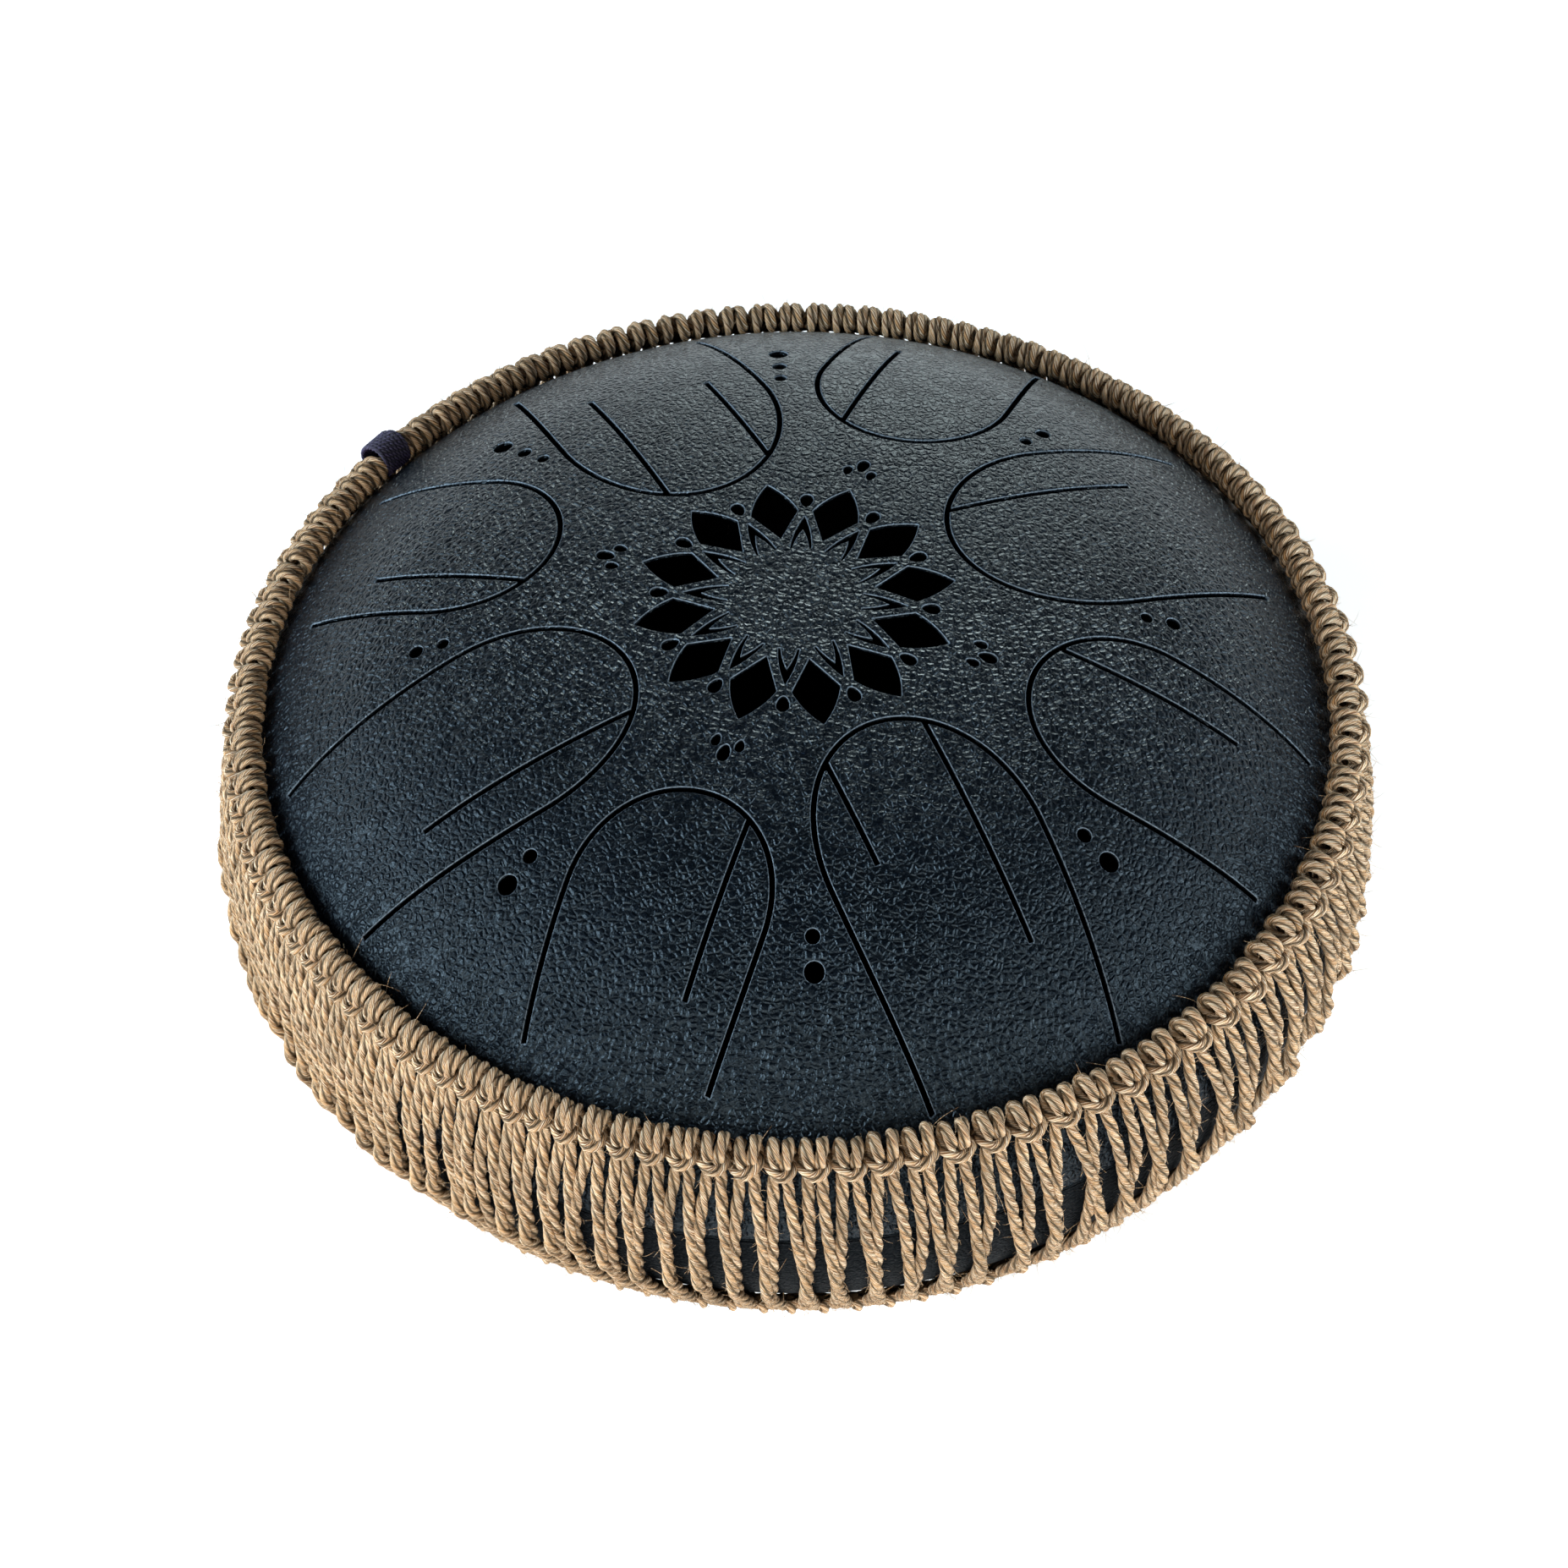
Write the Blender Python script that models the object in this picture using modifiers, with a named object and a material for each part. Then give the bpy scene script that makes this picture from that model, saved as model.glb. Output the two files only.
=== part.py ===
"""Steel tongue drum: two welded steel shells with eight cut tongues, a lotus sound opening and a net of
jute cord knotted around the rim.

Frame: metres, +Z up, origin on the floor under the middle of the drum. Azimuth is counted from +X
towards +Y. Run with: blender --background --python part.py
"""

import math
from collections import namedtuple

import bmesh
import bpy

# ---------------------------------------------------------------- driving sizes, in metres and degrees
SHELL_RADIUS = 0.200        # outer radius of both shells at the weld
WALL = 0.0015               # sheet steel
DOME_HEIGHT = 0.098         # weld to the top of the playing shell
DOME_POWER = 2.25           # 2 is an ellipse, more is a fuller shoulder
BOWL_DEPTH = 0.100          # weld to the lowest point of the lower shell
BOWL_POWER = 2.6
SEAM_WIDTH = 0.0020         # space between the two rims that the weld bead fills
BEAD_CROWN = 0.0004         # how far the bead stands proud of the shells
GAP = 0.0003                # clearance between touching pieces

FOOT_RADIUS = 0.014
FOOT_CIRCLE_RADIUS = 0.090
FOOT_CLEARANCE = 0.006      # height of the lower shell over the floor
FOOT_COUNT = 4
FOOT_EDGE = 0.0015          # bevel of the foot's lower edge

CORD_RADIUS = 0.0022        # three-ply jute cord
KNOT_RADIUS = 0.0060        # a hitch around the top carrier cord
BOTTOM_KNOT_RADIUS = 0.0043  # a loop around the bottom carrier cord
TOP_RING_RISE = 0.036       # where the top row of knots touches the dome, over the weld
BOTTOM_RING_DROP = 0.0545    # where the bottom row of loops touches the bowl, under the weld
NET_CLEARANCE = 0.0011      # shell to the inner side of the net's cords
NET_PANELS = 12             # groups of about eight doubled cords
PANEL_GAP = 0.0003
MOUTH_HALF_ANGLE = 35.0     # side of a knot that is open towards the shell

TIE_AZIMUTH = 140.0
TIE_WIDTH = 0.008
TIE_THICKNESS = 0.0013
TIE_CLEARANCE = 0.0010      # tie to the knots under it and to the dome, more than the facets' own depth
TIE_END_ANGLE = 50.0        # where the tie stops above the net's cords

SLIT_WIDTH = 0.0020
TONGUE_PHASE = 24.39        # azimuth of the first tongue's axis
TONGUE_PITCH = 45.0

# A tongue's tip and widest place are measured from the drum's axis, its root from the rim.
# octave_slits holds (offset from the tongue's axis, where the slit ends from the drum's axis).
Tongue = namedtuple("Tongue", "tip widest half_width root_half_width rim_to_root octave_slits")
TONGUES = [
    Tongue(0.0616, 0.1110, 0.0389, 0.0357, 0.0326, [(0.0174, 0.1389)]),
    Tongue(0.0888, 0.1258, 0.0348, 0.0318, 0.0252, [(0.0157, 0.1539)]),
    Tongue(0.0605, 0.1110, 0.0392, 0.0364, 0.0359, [(0.0181, 0.1367), (-0.0218, 0.1230)]),
    Tongue(0.0892, 0.1258, 0.0329, 0.0315, 0.0292, [(0.0161, 0.1515)]),
    Tongue(0.0625, 0.1110, 0.0377, 0.0346, 0.0226, [(0.0191, 0.1473)]),
    Tongue(0.0860, 0.1258, 0.0348, 0.0326, 0.0254, [(0.0168, 0.1530)]),
    Tongue(0.0601, 0.1110, 0.0383, 0.0346, 0.0194, [(0.0171, 0.1484), (-0.0204, 0.1086)]),
    Tongue(0.0862, 0.1258, 0.0348, 0.0320, 0.0218, [(0.0157, 0.1556)]),
]

# Rows of dots between the tongues: (distance from the axis, hole radius), and which rows each gap has.
DOT_ROWS = {"A": (0.1423, 0.0035), "B": (0.1312, 0.0026), "C": (0.1217, 0.0022)}
DOTS_IN_GAPS = ["BC", "BC", "ABC", "ABC", "BC", "AB", "AB", "AB"]

# A trefoil of three drops stands in front of each short tongue: (distance, side angle, half width, half length).
TREFOIL = [(0.0699, 0.0, 0.0022, 0.00345), (0.0660, 3.7, 0.0017, 0.0025), (0.0660, -3.7, 0.0017, 0.0025)]

LOTUS_PETALS = 12
LOTUS_PHASE = 9.39          # azimuth of the first petal's tip
PETAL_TIP = 0.0560
PETAL_SHOULDER = 0.0410
PETAL_HALF_WIDTH = 0.0084
PETAL_FOOT = 0.0279
PETAL_BULGE = 0.0011
INNER_PETAL_APEX = 0.0390
INNER_PETAL_NOTCH = 0.0323
INNER_PETAL_FOOT = 0.0232
INNER_PETAL_HALF_WIDTH = 0.0037
INNER_PETAL_ARM = 0.0008    # width of an arm's foot
INNER_PETAL_BULGE = 0.0008
LOTUS_DROP = (0.0469, 0.0, 0.0023, 0.0033)

# ---------------------------------------------------------------- fineness of the facets
RIM_SHARE = 0.98            # a short last facet keeps each shell's rim square to its wall
TURN_STEPS = 48             # facets around the drum, a multiple of NET_PANELS
DOME_STEPS = 9
BOWL_STEPS = 8
ARCH_STEPS = 8
DOT_STEPS = 8
EDGE_STEPS = 2              # segments of a petal's curved edge
RING_SIDES = 6              # sides of a carrier cord
KNOT_STEPS = 4
NET_UPPER_STEPS = 2         # stations of the net over the weld
NET_LOWER_STEPS = 4         # stations of the net under the weld, closer together at the turn of the bowl
FOOT_STEPS = 20

# ---------------------------------------------------------------- places worked out from the sizes
WELD_Z = FOOT_CLEARANCE + BOWL_DEPTH
APEX_Z = WELD_Z + DOME_HEIGHT
DRUM = "tongue_drum"
CUTTERS = "cutters"


def dome_point(angle):
    """Radius and height of the dome: angle runs from 0 at the apex to pi/2 at the weld."""
    return SHELL_RADIUS * math.sin(angle) ** (2 / DOME_POWER), WELD_Z + DOME_HEIGHT * math.cos(angle)


def bowl_point(angle, grow=0.0):
    """Radius and height of the bowl: angle runs from pi/2 at the weld to 0 at the lowest point."""
    radius = (SHELL_RADIUS + grow) * math.sin(angle) ** (2 / BOWL_POWER)
    return radius, WELD_Z - (BOWL_DEPTH + grow) * math.cos(angle) ** (2 / BOWL_POWER)


def dome_radius(rise):
    """Outer radius of the dome at a height over the weld."""
    return SHELL_RADIUS * (1 - (rise / DOME_HEIGHT) ** 2) ** (1 / DOME_POWER)


def bowl_radius(drop):
    """Outer radius of the bowl at a depth under the weld."""
    return SHELL_RADIUS * (1 - (drop / BOWL_DEPTH) ** BOWL_POWER) ** (1 / BOWL_POWER)


def shell_point(rise):
    """Point (radius, height) on the outside of the shells, rise counted up from the weld."""
    return (dome_radius(rise) if rise >= 0 else bowl_radius(-rise)), WELD_Z + rise


def shell_normal(rise):
    """Outward unit normal (radial, up) of the shells at a height over the weld."""
    step = 0.0005
    above, below = shell_point(rise + step), shell_point(rise - step)
    along = (above[0] - below[0], above[1] - below[1])
    length = math.hypot(*along)
    return along[1] / length, -along[0] / length


def off_shell(rise, distance):
    """Point that stands a distance off the outside of the shells."""
    (radius, height), (out, up) = shell_point(rise), shell_normal(rise)
    return radius + distance * out, height + distance * up


# ---------------------------------------------------------------- making things
def start_clean():
    """Removes the objects and makes the two collections."""
    for old in list(bpy.data.objects):
        bpy.data.objects.remove(old, do_unlink=True)
    for name in (DRUM, CUTTERS):
        bpy.context.scene.collection.children.link(bpy.data.collections.new(name))


def material(name, colour, roughness, metallic=0.0):
    """A Principled material of one colour."""
    made = bpy.data.materials.new(name)
    made.use_nodes = True
    shader = made.node_tree.nodes["Principled BSDF"]
    shader.inputs["Base Color"].default_value = (*colour, 1.0)
    shader.inputs["Roughness"].default_value = roughness
    shader.inputs["Metallic"].default_value = metallic
    return made


def put(obj, finish):
    """Links a finished piece into the drum's collection with its own copy of a material."""
    obj.data.materials.clear()
    obj.data.materials.append(finish.copy())
    bpy.data.collections[DRUM].objects.link(obj)
    return obj


def shade(mesh, angle=30.0):
    """Smooth shading with sharp corners."""
    mesh.shade_smooth()
    mesh.set_sharp_from_angle(angle=math.radians(angle))


def profile_mesh(name, points, closed=False):
    """A wire of (radius, height) points in the XZ plane, to be turned by a Screw modifier."""
    mesh = bpy.data.meshes.new(name)
    edges = [(i, i + 1) for i in range(len(points) - 1)]
    if closed:
        edges.append((len(points) - 1, 0))
    mesh.from_pydata([(radius, 0.0, height) for radius, height in points], edges, [])
    return mesh


def turned(name, points, closed=False, steps=TURN_STEPS):
    """A profile turned around the drum's axis."""
    obj = bpy.data.objects.new(name, profile_mesh(name, points, closed))
    screw = obj.modifiers.new("turn", "SCREW")
    screw.angle = math.tau
    screw.steps = screw.render_steps = steps
    screw.use_merge_vertices = True
    screw.merge_threshold = 0.00002
    screw.use_smooth_shade = True
    return obj


def wall(obj, thickness):
    """Gives an open turned surface its sheet thickness, on the inner side."""
    solidify = obj.modifiers.new("sheet", "SOLIDIFY")
    solidify.thickness = thickness
    solidify.offset = -1.0
    solidify.use_even_offset = True


def cut(obj, cutter):
    """Takes a cutter away from a piece."""
    boolean = obj.modifiers.new("cut_" + cutter.name, "BOOLEAN")
    boolean.operation = "DIFFERENCE"
    boolean.solver = "EXACT"
    boolean.object = cutter


def hide_cutter(obj):
    """Keeps a cutter out of the model."""
    obj.hide_render = True
    obj.display_type = "WIRE"
    bpy.data.collections[CUTTERS].objects.link(obj)
    return obj


def flat_cutter(name, outlines, low, high):
    """Upright prisms on closed outlines in the XY plane, as one mesh cutter."""
    curve = bpy.data.curves.new(name, "CURVE")
    curve.dimensions = "2D"
    curve.fill_mode = "BOTH"
    curve.extrude = (high - low) / 2
    for outline in outlines:
        spline = curve.splines.new("POLY")
        spline.points.add(len(outline) - 1)
        for point, (x, y) in zip(spline.points, outline):
            point.co = (x, y, 0.0, 1.0)
        spline.use_cyclic_u = True
    drawn = bpy.data.objects.new(name + "_outline", curve)
    drawn.location.z = (high + low) / 2
    bpy.data.collections[CUTTERS].objects.link(drawn)
    bpy.context.view_layer.update()
    mesh = bpy.data.meshes.new_from_object(drawn.evaluated_get(bpy.context.evaluated_depsgraph_get()))
    cutter = bpy.data.objects.new(name, mesh)
    cutter.matrix_world = drawn.matrix_world
    bpy.data.objects.remove(drawn, do_unlink=True)
    work = bmesh.new()
    work.from_mesh(mesh)
    bmesh.ops.remove_doubles(work, verts=work.verts, dist=0.00001)
    bmesh.ops.recalc_face_normals(work, faces=work.faces)
    work.to_mesh(mesh)
    work.free()
    return hide_cutter(cutter)


# ---------------------------------------------------------------- outlines in the plan
def placed(outline, azimuth):
    """Turns an outline of (outward, sideways) points to an azimuth."""
    c, s = math.cos(math.radians(azimuth)), math.sin(math.radians(azimuth))
    return [(c * out - s * side, s * out + c * side) for out, side in outline]


def band(path, width):
    """A strip of constant width along a path of plan points, with square ends."""
    left, right = [], []
    for i, (x, y) in enumerate(path):
        before, after = path[max(i - 1, 0)], path[min(i + 1, len(path) - 1)]
        dx, dy = after[0] - before[0], after[1] - before[1]
        scale = width / 2 / math.hypot(dx, dy)
        left.append((x - dy * scale, y + dx * scale))
        right.append((x + dy * scale, y - dx * scale))
    return left + right[::-1]


def bowed(start, end, bulge, steps=EDGE_STEPS):
    """Points from start up to but not including end, bowed to the left by bulge at the middle."""
    dx, dy = end[0] - start[0], end[1] - start[1]
    length = math.hypot(dx, dy)
    points = []
    for i in range(steps):
        t = i / steps
        push = 4 * bulge * t * (1 - t) / length
        points.append((start[0] + dx * t - dy * push, start[1] + dy * t + dx * push))
    return points


def tongue_path(tongue):
    """Middle line of the slit: root, side, half an ellipse round the tip, side, root."""
    root = SHELL_RADIUS - tongue.rim_to_root
    arch = [
        (tongue.widest - (tongue.widest - tongue.tip) * math.sin(math.pi * i / ARCH_STEPS),
         -tongue.half_width * math.cos(math.pi * i / ARCH_STEPS))
        for i in range(ARCH_STEPS + 1)
    ]
    narrowing = tongue.half_width - tongue.root_half_width
    side = [(root, -tongue.root_half_width),
            ((root + tongue.widest) / 2, -tongue.half_width + narrowing / 4)]
    return side + arch + [(out, -across) for out, across in reversed(side)]


def arch_reach(tongue, offset):
    """Distance from the axis where the tongue's arch stands at a sideways offset."""
    return tongue.widest - (tongue.widest - tongue.tip) * math.sqrt(1 - (offset / tongue.half_width) ** 2)


def tongue_outlines():
    return [placed(band(tongue_path(tongue), SLIT_WIDTH), TONGUE_PHASE + TONGUE_PITCH * i)
            for i, tongue in enumerate(TONGUES)]


def octave_outlines():
    outlines = []
    for i, tongue in enumerate(TONGUES):
        for offset, end in tongue.octave_slits:
            path = [(arch_reach(tongue, offset), offset), (end, offset)]
            outlines.append(placed(band(path, SLIT_WIDTH), TONGUE_PHASE + TONGUE_PITCH * i))
    return outlines


def drop(distance, side_angle, half_width, half_length, steps=DOT_STEPS):
    """An egg with its narrow end towards the drum's axis, as an outline before it is turned."""
    outline = []
    for i in range(steps):
        angle = math.tau * (i + 0.5) / steps
        fullness = 1 + 0.22 * math.cos(angle)
        outline.append((distance + half_length * math.cos(angle), half_width * math.sin(angle) * fullness))
    return placed(outline, side_angle)


def dot_outlines():
    outlines = []
    for i, rows in enumerate(DOTS_IN_GAPS):
        for row in rows:
            distance, radius = DOT_ROWS[row]
            circle = [(distance + radius * math.cos(math.tau * k / DOT_STEPS),
                       radius * math.sin(math.tau * k / DOT_STEPS)) for k in range(DOT_STEPS)]
            outlines.append(placed(circle, TONGUE_PHASE + TONGUE_PITCH * (i - 0.5)))
    for i in range(len(TONGUES) // 2):
        for leaf in TREFOIL:
            outlines.append(placed(drop(*leaf), TONGUE_PHASE + TONGUE_PITCH * (2 * i + 1)))
    return outlines


def petal_window():
    """A leaf with a pointed tip, two shoulders and a pointed foot."""
    tip, foot = (PETAL_TIP, 0.0), (PETAL_FOOT, 0.0)
    left, right = (PETAL_SHOULDER, PETAL_HALF_WIDTH), (PETAL_SHOULDER, -PETAL_HALF_WIDTH)
    return (bowed(tip, left, -PETAL_BULGE) + bowed(left, foot, 0.0, 1)
            + bowed(foot, right, 0.0, 1) + bowed(right, tip, -PETAL_BULGE))


def inner_petal_slot():
    """A chevron that outlines an inner petal, its point outwards."""
    side = INNER_PETAL_HALF_WIDTH
    inside = side - INNER_PETAL_ARM
    apex, notch = (INNER_PETAL_APEX, 0.0), (INNER_PETAL_NOTCH, 0.0)
    left, right = (INNER_PETAL_FOOT, side), (INNER_PETAL_FOOT, -side)
    left_in, right_in = (INNER_PETAL_FOOT, inside), (INNER_PETAL_FOOT, -inside)
    return (bowed(apex, left, -INNER_PETAL_BULGE) + [left] + bowed(left_in, notch, INNER_PETAL_BULGE / 2)
            + bowed(notch, right_in, INNER_PETAL_BULGE / 2) + [right_in]
            + bowed(right, apex, -INNER_PETAL_BULGE))


def lotus_outlines():
    pitch = 360.0 / LOTUS_PETALS
    outlines = []
    for i in range(LOTUS_PETALS):
        outlines.append(placed(petal_window(), LOTUS_PHASE + pitch * i))
        outlines.append(placed(inner_petal_slot(), LOTUS_PHASE + pitch * (i + 0.5)))
        outlines.append(placed(drop(*LOTUS_DROP), LOTUS_PHASE + pitch * (i + 0.5)))
    return outlines


# ---------------------------------------------------------------- the pieces
def make_upper_shell(finish):
    """The playing shell: a dome with the slits, dots and lotus cut through it."""
    last = math.acos(SEAM_WIDTH / 2 / DOME_HEIGHT)
    angles = [last * i / DOME_STEPS for i in range(DOME_STEPS)] + [last * RIM_SHARE, last]
    shell = turned("upper_shell", [dome_point(angle) for angle in angles])
    wall(shell, WALL)
    low, high = WELD_Z + DOME_HEIGHT * 0.05, APEX_Z + DOME_HEIGHT * 0.1
    for name, outlines in (("tongue_slits", tongue_outlines()), ("octave_slits", octave_outlines()),
                           ("dots", dot_outlines()), ("lotus", lotus_outlines())):
        cut(shell, flat_cutter(name, outlines, low, high))
    return put(shell, finish)


def make_lower_shell(finish):
    """The bowl that closes the resonator from below."""
    first = math.acos((SEAM_WIDTH / 2 / BOWL_DEPTH) ** (BOWL_POWER / 2))
    angles = [first, first * RIM_SHARE] + [first * (1 - i / BOWL_STEPS) for i in range(1, BOWL_STEPS + 1)]
    shell = turned("lower_shell", [bowl_point(angle) for angle in angles])
    wall(shell, WALL)
    return put(shell, finish)


def make_weld_seam(finish):
    """The bead that joins the two rims."""
    half = SEAM_WIDTH / 2 - GAP
    inner, flush = SHELL_RADIUS - WALL, SHELL_RADIUS - BEAD_CROWN
    section = [(inner, WELD_Z + half), (flush, WELD_Z + half), (SHELL_RADIUS + BEAD_CROWN, WELD_Z),
               (flush, WELD_Z - half), (inner, WELD_Z - half)]
    return put(turned("weld_seam", section, closed=True), finish)


def knot_radius(rise):
    """The knots over the weld are larger than the loops under it."""
    return KNOT_RADIUS if rise > 0 else BOTTOM_KNOT_RADIUS


def ring_centre(rise):
    """Middle of a carrier cord whose knots touch the shells at a height over the weld."""
    return off_shell(rise, knot_radius(rise) + GAP)


def make_carrier(name, rise, finish):
    """A closed loop of cord around the shells, inside the row of knots."""
    radius, height = ring_centre(rise)
    section = [(radius + CORD_RADIUS * math.cos(math.tau * i / RING_SIDES),
                height - CORD_RADIUS * math.sin(math.tau * i / RING_SIDES)) for i in range(RING_SIDES)]
    return put(turned(name, section, closed=True), finish)


def knot_arc(rise, radius, first, last, steps):
    """Points round a carrier cord: 0 degrees faces away from the shell, positive runs down along it."""
    (x, z), (out, up) = ring_centre(rise), shell_normal(rise)
    points = []
    for i in range(steps + 1):
        angle = math.radians(first + (last - first) * i / steps)
        across, along = radius * math.cos(angle), radius * math.sin(angle)
        points.append((x + across * out + along * up, z + across * up - along * out))
    return points


def net_line(distance, backwards=False):
    """Meridian line of the net's cords at a distance off the shells, between the two rings."""
    top = TOP_RING_RISE - KNOT_RADIUS
    bottom = -BOTTOM_RING_DROP + BOTTOM_KNOT_RADIUS
    above = [top * (1 - i / NET_UPPER_STEPS) for i in range(NET_UPPER_STEPS + 1)]
    below = [bottom * math.sin(math.pi / 2 * i / NET_LOWER_STEPS) for i in range(1, NET_LOWER_STEPS + 1)]
    line = [off_shell(rise, distance) for rise in above + below]
    return line[::-1] if backwards else line


def panel_section():
    """Closed section of the net: a hollow knot at each end and a thin wall of cords between them."""
    lip = 180.0 - MOUTH_HALF_ANGLE
    steps = KNOT_STEPS + 1
    hollow = (CORD_RADIUS + GAP) / math.cos(math.radians(lip / steps))
    outer = NET_CLEARANCE + 2 * CORD_RADIUS
    return (knot_arc(TOP_RING_RISE, KNOT_RADIUS, -lip, 60.0, KNOT_STEPS)
            + net_line(outer)
            + knot_arc(-BOTTOM_RING_DROP, BOTTOM_KNOT_RADIUS, -60.0, lip, KNOT_STEPS)
            + knot_arc(-BOTTOM_RING_DROP, hollow, lip, -lip, steps)
            + net_line(NET_CLEARANCE, backwards=True)
            + knot_arc(TOP_RING_RISE, hollow, lip, -lip, steps))


def swept(name, section, first, last, steps):
    """A closed section of (radius, height) points carried round the axis between two azimuths."""
    work = bmesh.new()
    c, s = math.cos(math.radians(first)), math.sin(math.radians(first))
    verts = [work.verts.new((radius * c, radius * s, height)) for radius, height in section]
    face = work.faces.new(verts)
    geometry = [face, *face.edges, *face.verts]
    bmesh.ops.spin(work, geom=geometry, cent=(0, 0, 0), axis=(0, 0, 1),
                   angle=math.radians(last - first), steps=steps, use_duplicate=False)
    bmesh.ops.recalc_face_normals(work, faces=work.faces)
    mesh = bpy.data.meshes.new(name)
    work.to_mesh(mesh)
    work.free()
    shade(mesh, 50.0)
    return bpy.data.objects.new(name, mesh)


def make_net_panel(index, finish):
    """One group of doubled cords: their hitches, their legs and their bottom loops."""
    pitch = 360.0 / NET_PANELS
    margin = math.degrees(PANEL_GAP / 2 / SHELL_RADIUS) * 1.3
    section = panel_section()
    return put(swept(f"net_panel_{index + 1:02d}", section, pitch * index + margin,
                     pitch * (index + 1) - margin, TURN_STEPS // NET_PANELS), finish)


def make_tie(finish):
    """The whipping that closes the top carrier cord, over the knots."""
    inner = KNOT_RADIUS + TIE_CLEARANCE
    outer = inner + TIE_THICKNESS
    lip = 180.0 - math.degrees(math.acos((KNOT_RADIUS + GAP - TIE_CLEARANCE) / outer))
    section = (knot_arc(TOP_RING_RISE, outer, -lip, TIE_END_ANGLE, 8)
               + knot_arc(TOP_RING_RISE, inner, TIE_END_ANGLE, -lip, 8))
    half = math.degrees(TIE_WIDTH / 2 / ring_centre(TOP_RING_RISE)[0])
    return put(swept("black_tie", section, TIE_AZIMUTH - half, TIE_AZIMUTH + half, 2), finish)


def make_foot(index, finish, trim):
    """A rubber pad under the bowl, its top trimmed to the bowl's curve."""
    azimuth = math.tau * (index + 0.5) / FOOT_COUNT
    mesh = bpy.data.meshes.new(f"rubber_foot_{index + 1}")
    height = WELD_Z - BOWL_DEPTH * 0.8
    work = bmesh.new()
    bmesh.ops.create_cone(work, cap_ends=True, segments=FOOT_STEPS, radius1=FOOT_RADIUS,
                          radius2=FOOT_RADIUS, depth=height)
    work.to_mesh(mesh)
    work.free()
    foot = bpy.data.objects.new(mesh.name, mesh)
    foot.location = (FOOT_CIRCLE_RADIUS * math.cos(azimuth), FOOT_CIRCLE_RADIUS * math.sin(azimuth), height / 2)
    cut(foot, trim)
    bevel = foot.modifiers.new("edge", "BEVEL")
    bevel.width = FOOT_EDGE
    bevel.segments = 1
    bevel.limit_method = "ANGLE"
    bevel.angle_limit = math.radians(60)
    return put(foot, finish)


def make_bowl_trim():
    """The solid bowl, grown by the gap, that trims the feet."""
    rim = WELD_Z + DOME_HEIGHT * 0.1
    points = [(0.0, rim), (SHELL_RADIUS + GAP, rim)]
    points += [bowl_point(math.pi / 2 * (1 - i / BOWL_STEPS), GAP) for i in range(BOWL_STEPS + 1)]
    return hide_cutter(turned("bowl_trim", points))


def main():
    start_clean()
    coat = material("navy_powder_coat", (0.035, 0.055, 0.085), 0.5, 0.2)
    bead = material("coated_weld", (0.030, 0.045, 0.070), 0.55, 0.2)
    jute = material("jute_cord", (0.50, 0.36, 0.21), 0.9)
    black = material("black_cord", (0.015, 0.015, 0.017), 0.8)
    rubber = material("black_rubber", (0.02, 0.02, 0.02), 0.7)

    make_upper_shell(coat)
    make_lower_shell(coat)
    make_weld_seam(bead)
    make_carrier("top_carrier_cord", TOP_RING_RISE, jute)
    make_carrier("bottom_carrier_cord", -BOTTOM_RING_DROP, jute)
    for index in range(NET_PANELS):
        make_net_panel(index, jute)
    make_tie(black)
    trim = make_bowl_trim()
    for index in range(FOOT_COUNT):
        make_foot(index, rubber, trim)


main()
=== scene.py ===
"""Steel tongue drum with a lotus sound opening, in a knotted net of jute cord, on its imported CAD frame.

Metres, +Z up, the drum's axis on the Z axis and its feet on the floor. Azimuth is counted from +X towards +Y.
"""

import math
from collections import namedtuple

import bpy
import numpy as np
from mathutils import Matrix
from mathutils.geometry import delaunay_2d_cdt


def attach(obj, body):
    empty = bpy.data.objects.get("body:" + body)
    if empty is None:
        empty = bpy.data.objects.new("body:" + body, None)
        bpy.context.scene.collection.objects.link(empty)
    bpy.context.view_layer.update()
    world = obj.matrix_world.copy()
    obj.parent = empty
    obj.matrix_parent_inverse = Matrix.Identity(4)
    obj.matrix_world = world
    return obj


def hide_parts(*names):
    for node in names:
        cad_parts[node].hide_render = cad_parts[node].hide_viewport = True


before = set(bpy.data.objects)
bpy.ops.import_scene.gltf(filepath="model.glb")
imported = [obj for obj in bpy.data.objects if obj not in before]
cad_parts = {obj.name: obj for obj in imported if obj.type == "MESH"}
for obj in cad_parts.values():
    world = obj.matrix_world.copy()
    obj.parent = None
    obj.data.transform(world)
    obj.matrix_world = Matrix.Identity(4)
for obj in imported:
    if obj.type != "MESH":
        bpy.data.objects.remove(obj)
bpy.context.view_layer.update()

MM = 0.001
TAU = math.tau

# ---------------------------------------------------------------- sizes shared with the CAD model
SHELL_RADIUS = 0.200
WALL = 0.0015
DOME_HEIGHT = 0.098
DOME_POWER = 2.25
BOWL_DEPTH = 0.100
BOWL_POWER = 2.6
SEAM_WIDTH = 0.0020
BEAD_CROWN = 0.0004
GAP = 0.0003
FOOT_RADIUS = 0.014
FOOT_CIRCLE_RADIUS = 0.090
FOOT_COUNT = 4
CORD_RADIUS = 0.0022
KNOT_RADIUS = 0.0060
BOTTOM_KNOT_RADIUS = 0.0043
TOP_RING_RISE = 0.036
BOTTOM_RING_DROP = 0.0545
NET_CLEARANCE = 0.0011
NET_PANELS = 12
TIE_AZIMUTH = 140.0
SLIT_WIDTH = 0.0020
TONGUE_PHASE = 24.39
TONGUE_PITCH = 45.0

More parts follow.
